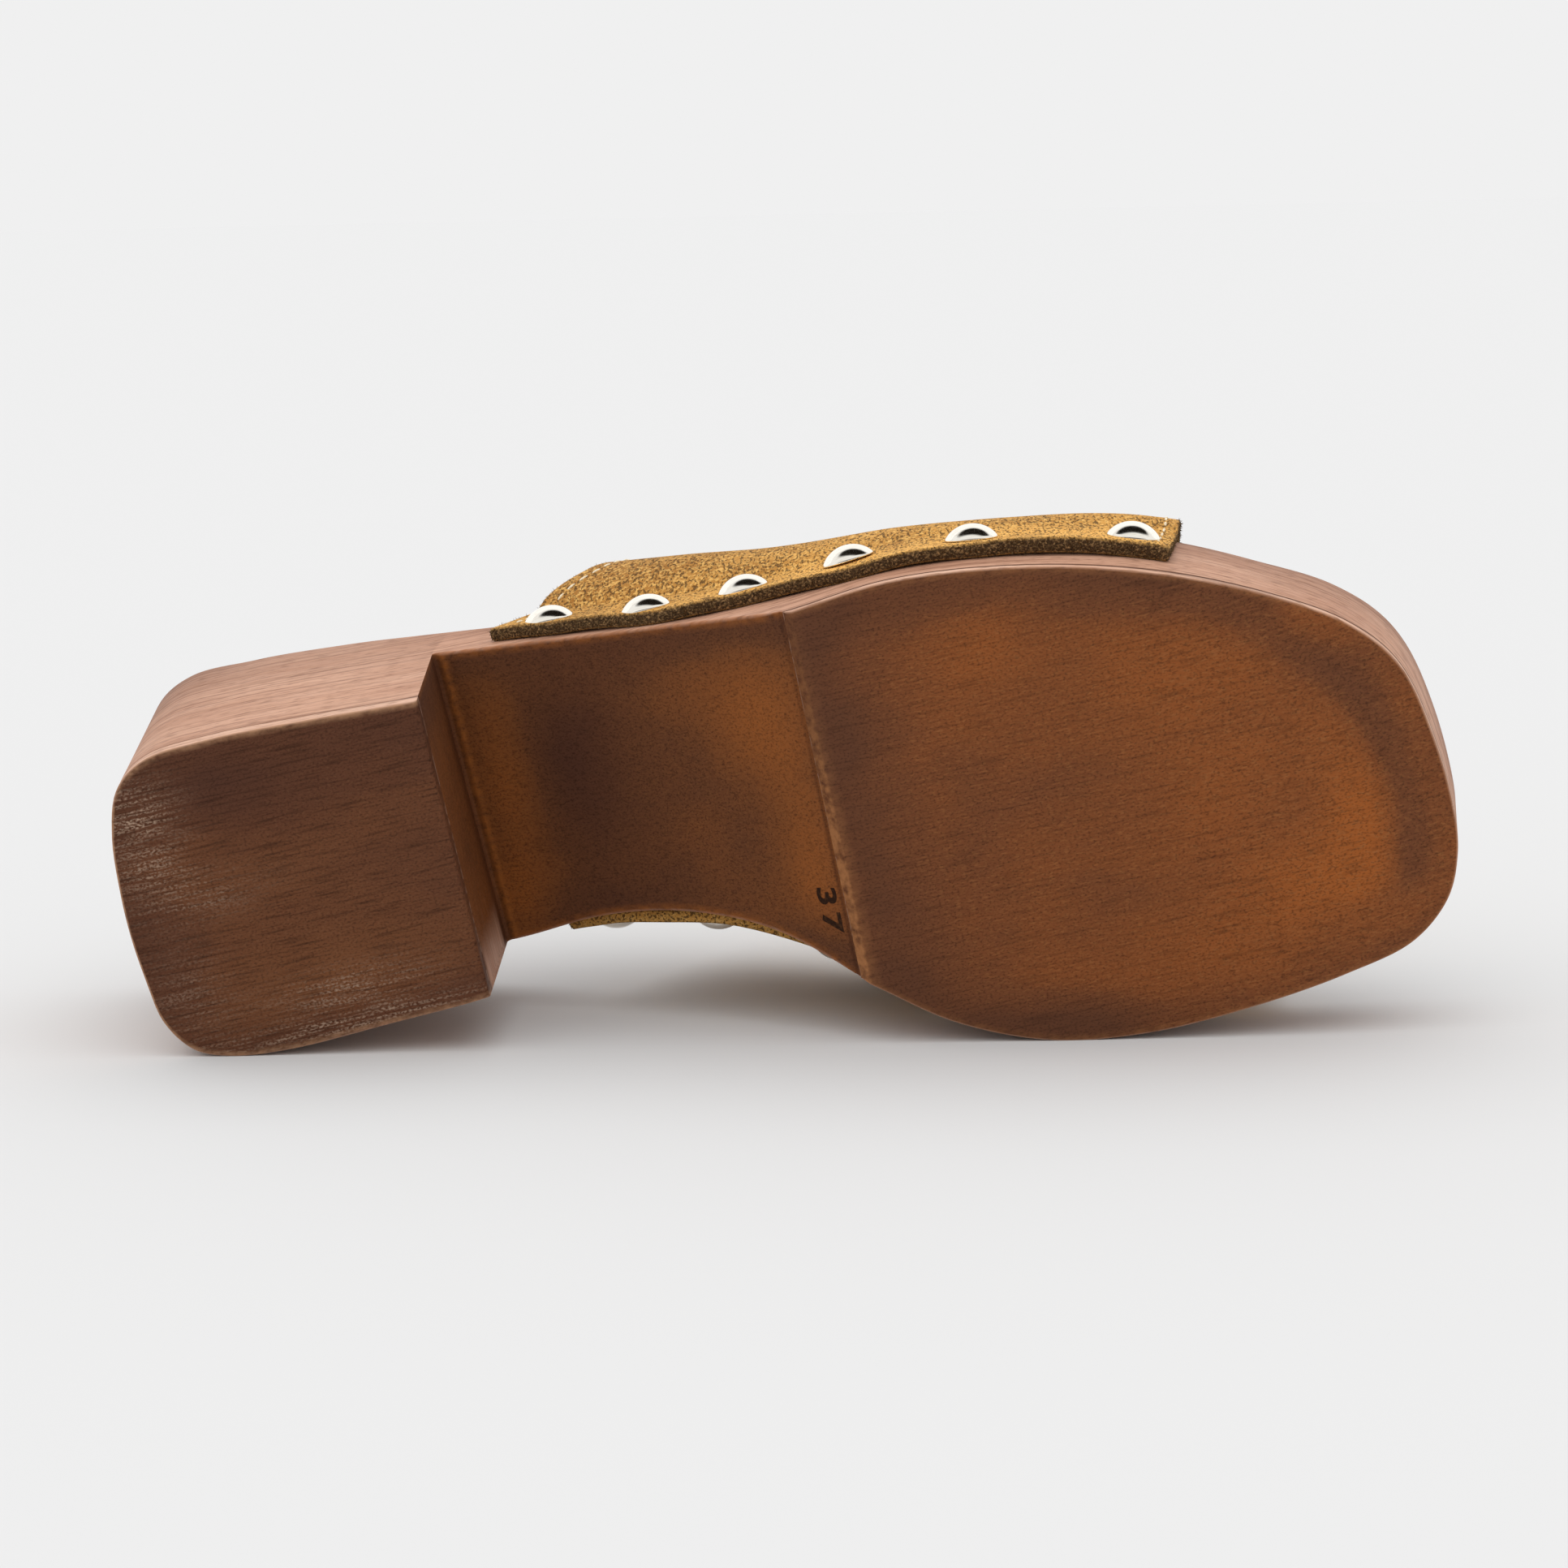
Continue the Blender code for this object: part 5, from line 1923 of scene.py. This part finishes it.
        # Suede gives a little where it lies on the floor.
        for vertex in mesh.vertices:
            vertex.co.z = max(vertex.co.z, 0.0)
        mesh.update()
        add_piece(mesh, TanSuede().build(), ("suede_vamp",))
        fibres = grow(
            mesh,
            self.fibre_tree(),
            {
                "Density": self.fibres_per_mm2 / MM ** 2,
                "Length": self.fibre_length * MM,
                "Width": self.fibre_width * MM,
                "Seed": self.seed,
                "Material": SuedeFibre().build(),
            },
            "suede_fibres",
        )
        add_piece(fibres, None)
        stitches = grow(
            self.stitch_lines(),
            self.stitch_tree(),
            {
                "Pitch": self.stitch_pitch * MM,
                "Length": self.stitch_length * MM,
                "Thread": self.thread * MM,
                "Material": CreamThread().build(),
            },
            "edge_stitches",
        )
        stitches.shade_smooth()
        add_piece(stitches, None)


@dataclass
class DomeNails:
    """The dome-headed nails, each where its solid stands."""

    radius: float = 5.1
    dome: float = 2.7
    rim: float = 0.3
    sink: float = 0.55
    tilt: float = 9.0
    segments: int = 40
    rings: int = 12
    foot_inset: float = 0.25
    rim_inset: float = 0.03
    rim_foot: float = 0.05
    sharp: float = 40.0

    def names(self) -> list[str]:
        """Return the names of the nails' solids."""
        return [f"nail_{side.value}_{i + 1}" for side in Side for i in range(len(NAILS[side]))]

    def seat(self, name: str) -> tuple[np.ndarray, np.ndarray]:
        """Find the foot and the direction of one nail from its solid: driven in, and leaning with the hem.

        Args:
            name: The solid's name.

        Returns:
            The middle of its flat face, and the way that its dome looks.
        """
        corners = np.unique(np.round([v.co for v in frame["nodes"][name].data.vertices], 7), axis=0)
        middle = corners.mean(axis=0)
        axis = np.linalg.svd(corners - middle)[2][2]
        heights = (corners - middle) @ axis
        if heights.max() < -heights.min():
            axis = -axis
            heights = -heights
        up = np.array(SHOE.matrix().to_3x3() @ Vector((0.0, 0.0, 1.0)))
        foot = middle + axis * (heights.min() - self.sink * MM)
        leant = axis + math.tan(math.radians(self.tilt)) * (up - axis * (up @ axis))
        return foot, leant / np.linalg.norm(leant)

    def head(self) -> bpy.types.Mesh:
        """Turn the profile of one head: a dome over a small rolled rim."""
        ball = (self.radius ** 2 + self.dome ** 2) / (2.0 * self.dome)
        spread = math.asin(self.radius / ball)
        profile = [
            (self.radius - self.foot_inset, 0.0),
            (self.radius - self.rim_inset, self.rim_foot),
            (self.radius, 0.5 * self.rim),
        ]
        for i in range(self.rings):
            angle = spread * (1.0 - i / self.rings)
            profile.append((ball * math.sin(angle), self.rim + ball * math.cos(angle) - ball + self.dome))
        turns = np.linspace(0.0, 2.0 * math.pi, self.segments, endpoint=False)
        rings = [[(r * math.cos(a), r * math.sin(a), z) for a in turns] for r, z in profile]
        bm = bmesh.new()
        loops = [[bm.verts.new(np.array(point) * MM) for point in ring] for ring in rings]
        for low, high in zip(loops, loops[1:]):
            for i in range(self.segments):
                k = (i + 1) % self.segments
                bm.faces.new((low[i], low[k], high[k], high[i]))
        bm.faces.new(loops[0][::-1])
        tip = bm.verts.new((0.0, 0.0, (self.rim + self.dome) * MM))
        for i in range(self.segments):
            bm.faces.new((loops[-1][i], loops[-1][(i + 1) % self.segments], tip))
        bmesh.ops.recalc_face_normals(bm, faces=bm.faces)
        mesh = bpy.data.meshes.new("nail_head")
        bm.to_mesh(mesh)
        bm.free()
        mesh.shade_smooth()
        mesh.set_sharp_from_angle(angle=math.radians(self.sharp))
        return mesh

    def tree(self) -> bpy.types.NodeTree:
        """Build the tree that stands one head on each point, along the point's axis."""
        tree, start = new_geometry_tree(
            "dome_nails", {"Head": "NodeSocketObject", "Material": "NodeSocketMaterial"}
        )
        head = add_node(tree, "GeometryNodeObjectInfo", {"Object": start.outputs["Head"]})
        axis = add_node(
            tree, "GeometryNodeInputNamedAttribute", {"Name": "axis"}, data_type="FLOAT_VECTOR"
        )
        turn = add_node(
            tree, "FunctionNodeAlignRotationToVector", {"Vector": axis.outputs["Attribute"]}, axis="Z"
        )
        stood = add_node(
            tree,
            "GeometryNodeInstanceOnPoints",
            {
                "Points": start.outputs["Geometry"],
                "Instance": head.outputs["Geometry"],
                "Rotation": turn.outputs["Rotation"],
            },
        )
        close_geometry_tree(tree, start, stood.outputs["Instances"])
        return tree

    def build(self) -> None:
        """Build all nails as one mesh and dress them."""
        seats = [self.seat(name) for name in self.names()]
        points = bpy.data.meshes.new("nail_points")
        points.from_pydata([list(foot) for foot, _ in seats], [], [])
        axes = points.attributes.new("axis", "FLOAT_VECTOR", "POINT")
        axes.data.foreach_set("vector", np.array([axis for _, axis in seats], dtype=np.float32).ravel())
        head = bpy.data.objects.new("nail_head", self.head())
        bpy.context.scene.collection.objects.link(head)
        values = {"Head": head, "Material": PolishedNickel().build()}
        nails = grow(points, self.tree(), values, "dome_nails")
        bpy.data.objects.remove(head)
        add_piece(nails, None, self.names())


@dataclass
class Studio:
    """Pale paper, soft light from above, and the camera."""

    paper: str = "#d7d7d7"
    sky: str = "#f0f0f0"
    sun_strength: float = 1.3
    sun_spread: float = 100.0
    sun_tilt: float = 8.0
    sun_roll: float = -8.0
    camera_place: tuple[float, float, float] = (172.7, -158.5, -656.9)
    camera_aim: tuple[float, float, float] = (128.8, 6.6, 0.0)
    camera_up: tuple[float, float, float] = (0.2196, -0.9426, 0.2517)
    focal_px: float = 4480.0
    photo_px: float = 1932.0
    sensor_mm: float = 36.0
    floor_reach: float = 60.0
    card_height: float = 1.0
    card_fade: float = 0.65
    panel_place: float = 1.5
    panel_reach: tuple[float, float] = (4.0, 2.2)
    panel_glow: float = 1.05

    def sheet(
        self,
        name: str,
        corners: Sequence[Sequence[float]],
        material: bpy.types.Material,
    ) -> bpy.types.Object:
        """Put up one flat sheet that isn't part of the shoe.

        Args:
            name: Its name.
            corners: Its corners in metres.
            material: Its material.

        Returns:
            The sheet.
        """
        mesh = bpy.data.meshes.new(name)
        mesh.from_pydata([tuple(corner) for corner in corners], [], [tuple(range(len(corners)))])
        mesh.materials.append(material)
        item = bpy.data.objects.new(name, mesh)
        bpy.context.scene.collection.objects.link(item)
        return item

    def flat_material(self, name: str, code: str) -> bpy.types.Material:
        """Make a plain matt material for the studio.

        Args:
            name: Its name.
            code: Its hex colour.

        Returns:
            The material.
        """
        material = bpy.data.materials.new(name)
        material.use_nodes = True
        shader = material.node_tree.nodes["Principled BSDF"]
        shader.inputs["Base Color"].default_value = srgb(code)
        shader.inputs["Roughness"].default_value = 1.0
        shader.inputs["Specular IOR Level"].default_value = 0.0
        return material

    def hang_card(self, card: CardRow) -> None:
        """Hang a card with soft edges over the floor, which shows only in what is polished.

        Args:
            card: Its name, colour, place and reach.
        """
        signs = ((-1, -1), (1, -1), (1, 1), (-1, 1))
        corners = [(card.x + i * card.wide, card.y + k * card.deep, self.card_height) for i, k in signs]
        material = self.flat_material(card.name, card.code)
        tree = material.node_tree
        centred = add_node(
            tree,
            "ShaderNodeMapping",
            {
                "Vector": add_node(tree, "ShaderNodeTexCoord").outputs["Object"],
                "Location": (-card.x / card.wide, -card.y / card.deep, 0.0),
                "Scale": (1.0 / card.wide, 1.0 / card.deep, 0.0),
            },
        )
        out = add_node(tree, "ShaderNodeVectorMath", {0: centred.outputs["Vector"]}, operation="LENGTH")
        fade = add_node(
            tree,
            "ShaderNodeMapRange",
            {
                "Value": out.outputs["Value"],
                "From Min": self.card_fade,
                "From Max": 1.0,
                "To Min": 1.0,
                "To Max": 0.0,
            },
            interpolation_type="SMOOTHSTEP",
        )
        tree.links.new(fade.outputs["Result"], tree.nodes["Principled BSDF"].inputs["Alpha"])
        self.hide_card(self.sheet(card.name, corners, material))

    def stand_panel(self) -> None:
        """Stand a white panel behind the shoe, which shows only in what is polished."""
        y, (wide, high) = self.panel_place, self.panel_reach
        corners = ((-wide, y, 0.0), (wide, y, 0.0), (wide, y, high), (-wide, y, high))
        material = self.flat_material("white_panel", "#000000")
        shader = material.node_tree.nodes["Principled BSDF"]
        shader.inputs["Emission Color"].default_value = srgb("#ffffff")
        shader.inputs["Emission Strength"].default_value = self.panel_glow
        self.hide_card(self.sheet("white_panel", corners, material))

    def hide_card(self, card: bpy.types.Object) -> None:
        """Keep a card out of the picture, the light and the shadows, so that only mirrors show it."""
        card.visible_camera = False
        card.visible_diffuse = False
        card.visible_shadow = False

    def build(self) -> None:
        """Set up floor, cards, sky, light and camera."""
        scene = bpy.context.scene
        scene.view_settings.view_transform = "Standard"
        reach = self.floor_reach
        corners = ((-reach, -reach, 0.0), (reach, -reach, 0.0), (reach, reach, 0.0), (-reach, reach, 0.0))
        self.sheet("paper_floor", corners, self.flat_material("pale_paper", self.paper))
        for card in CARDS:
            self.hang_card(card)
        self.stand_panel()
        world = bpy.data.worlds.new("pale_studio")
        world.use_nodes = True
        world.node_tree.nodes["Background"].inputs["Color"].default_value = srgb(self.sky)
        scene.world = world
        lamp = bpy.data.lights.new("overhead_softbox", "SUN")
        lamp.energy = self.sun_strength
        lamp.angle = math.radians(self.sun_spread)
        light = bpy.data.objects.new("overhead_softbox", lamp)
        light.rotation_euler = (math.radians(self.sun_tilt), math.radians(self.sun_roll), 0.0)
        light.visible_glossy = False
        scene.collection.objects.link(light)
        self.aim_camera()

    def aim_camera(self) -> None:
        """Place the camera at the photograph's angle to the shoe."""
        view = bpy.data.cameras.new("camera")
        view.sensor_width = self.sensor_mm
        view.lens = self.focal_px / self.photo_px * self.sensor_mm
        view.clip_start = 0.01
        view.clip_end = 200.0
        camera = bpy.data.objects.new("camera", view)
        place, aim = (Vector(p) for p in SHOE.place(np.array((self.camera_place, self.camera_aim))))
        back = (place - aim).normalized()
        up = SHOE.matrix().to_3x3() @ Vector(self.camera_up)
        right = up.cross(back).normalized()
        turn = Matrix((right, back.cross(right), back)).transposed()
        camera.matrix_world = Matrix.Translation(place) @ turn.to_4x4()
        bpy.context.scene.collection.objects.link(camera)
        bpy.context.scene.camera = camera


def main() -> None:
    """Build the shoe piece by piece, then the studio."""
    logging.basicConfig(level=logging.INFO, format="%(name)s: %(message)s")
    shape = SoleShape()
    WoodenSole(shape).build()
    SizeStamp(shape).build()
    SuedeBand(shape).build()
    DomeNails().build()
    Studio().build()


if __name__ == "__main__":
    main()
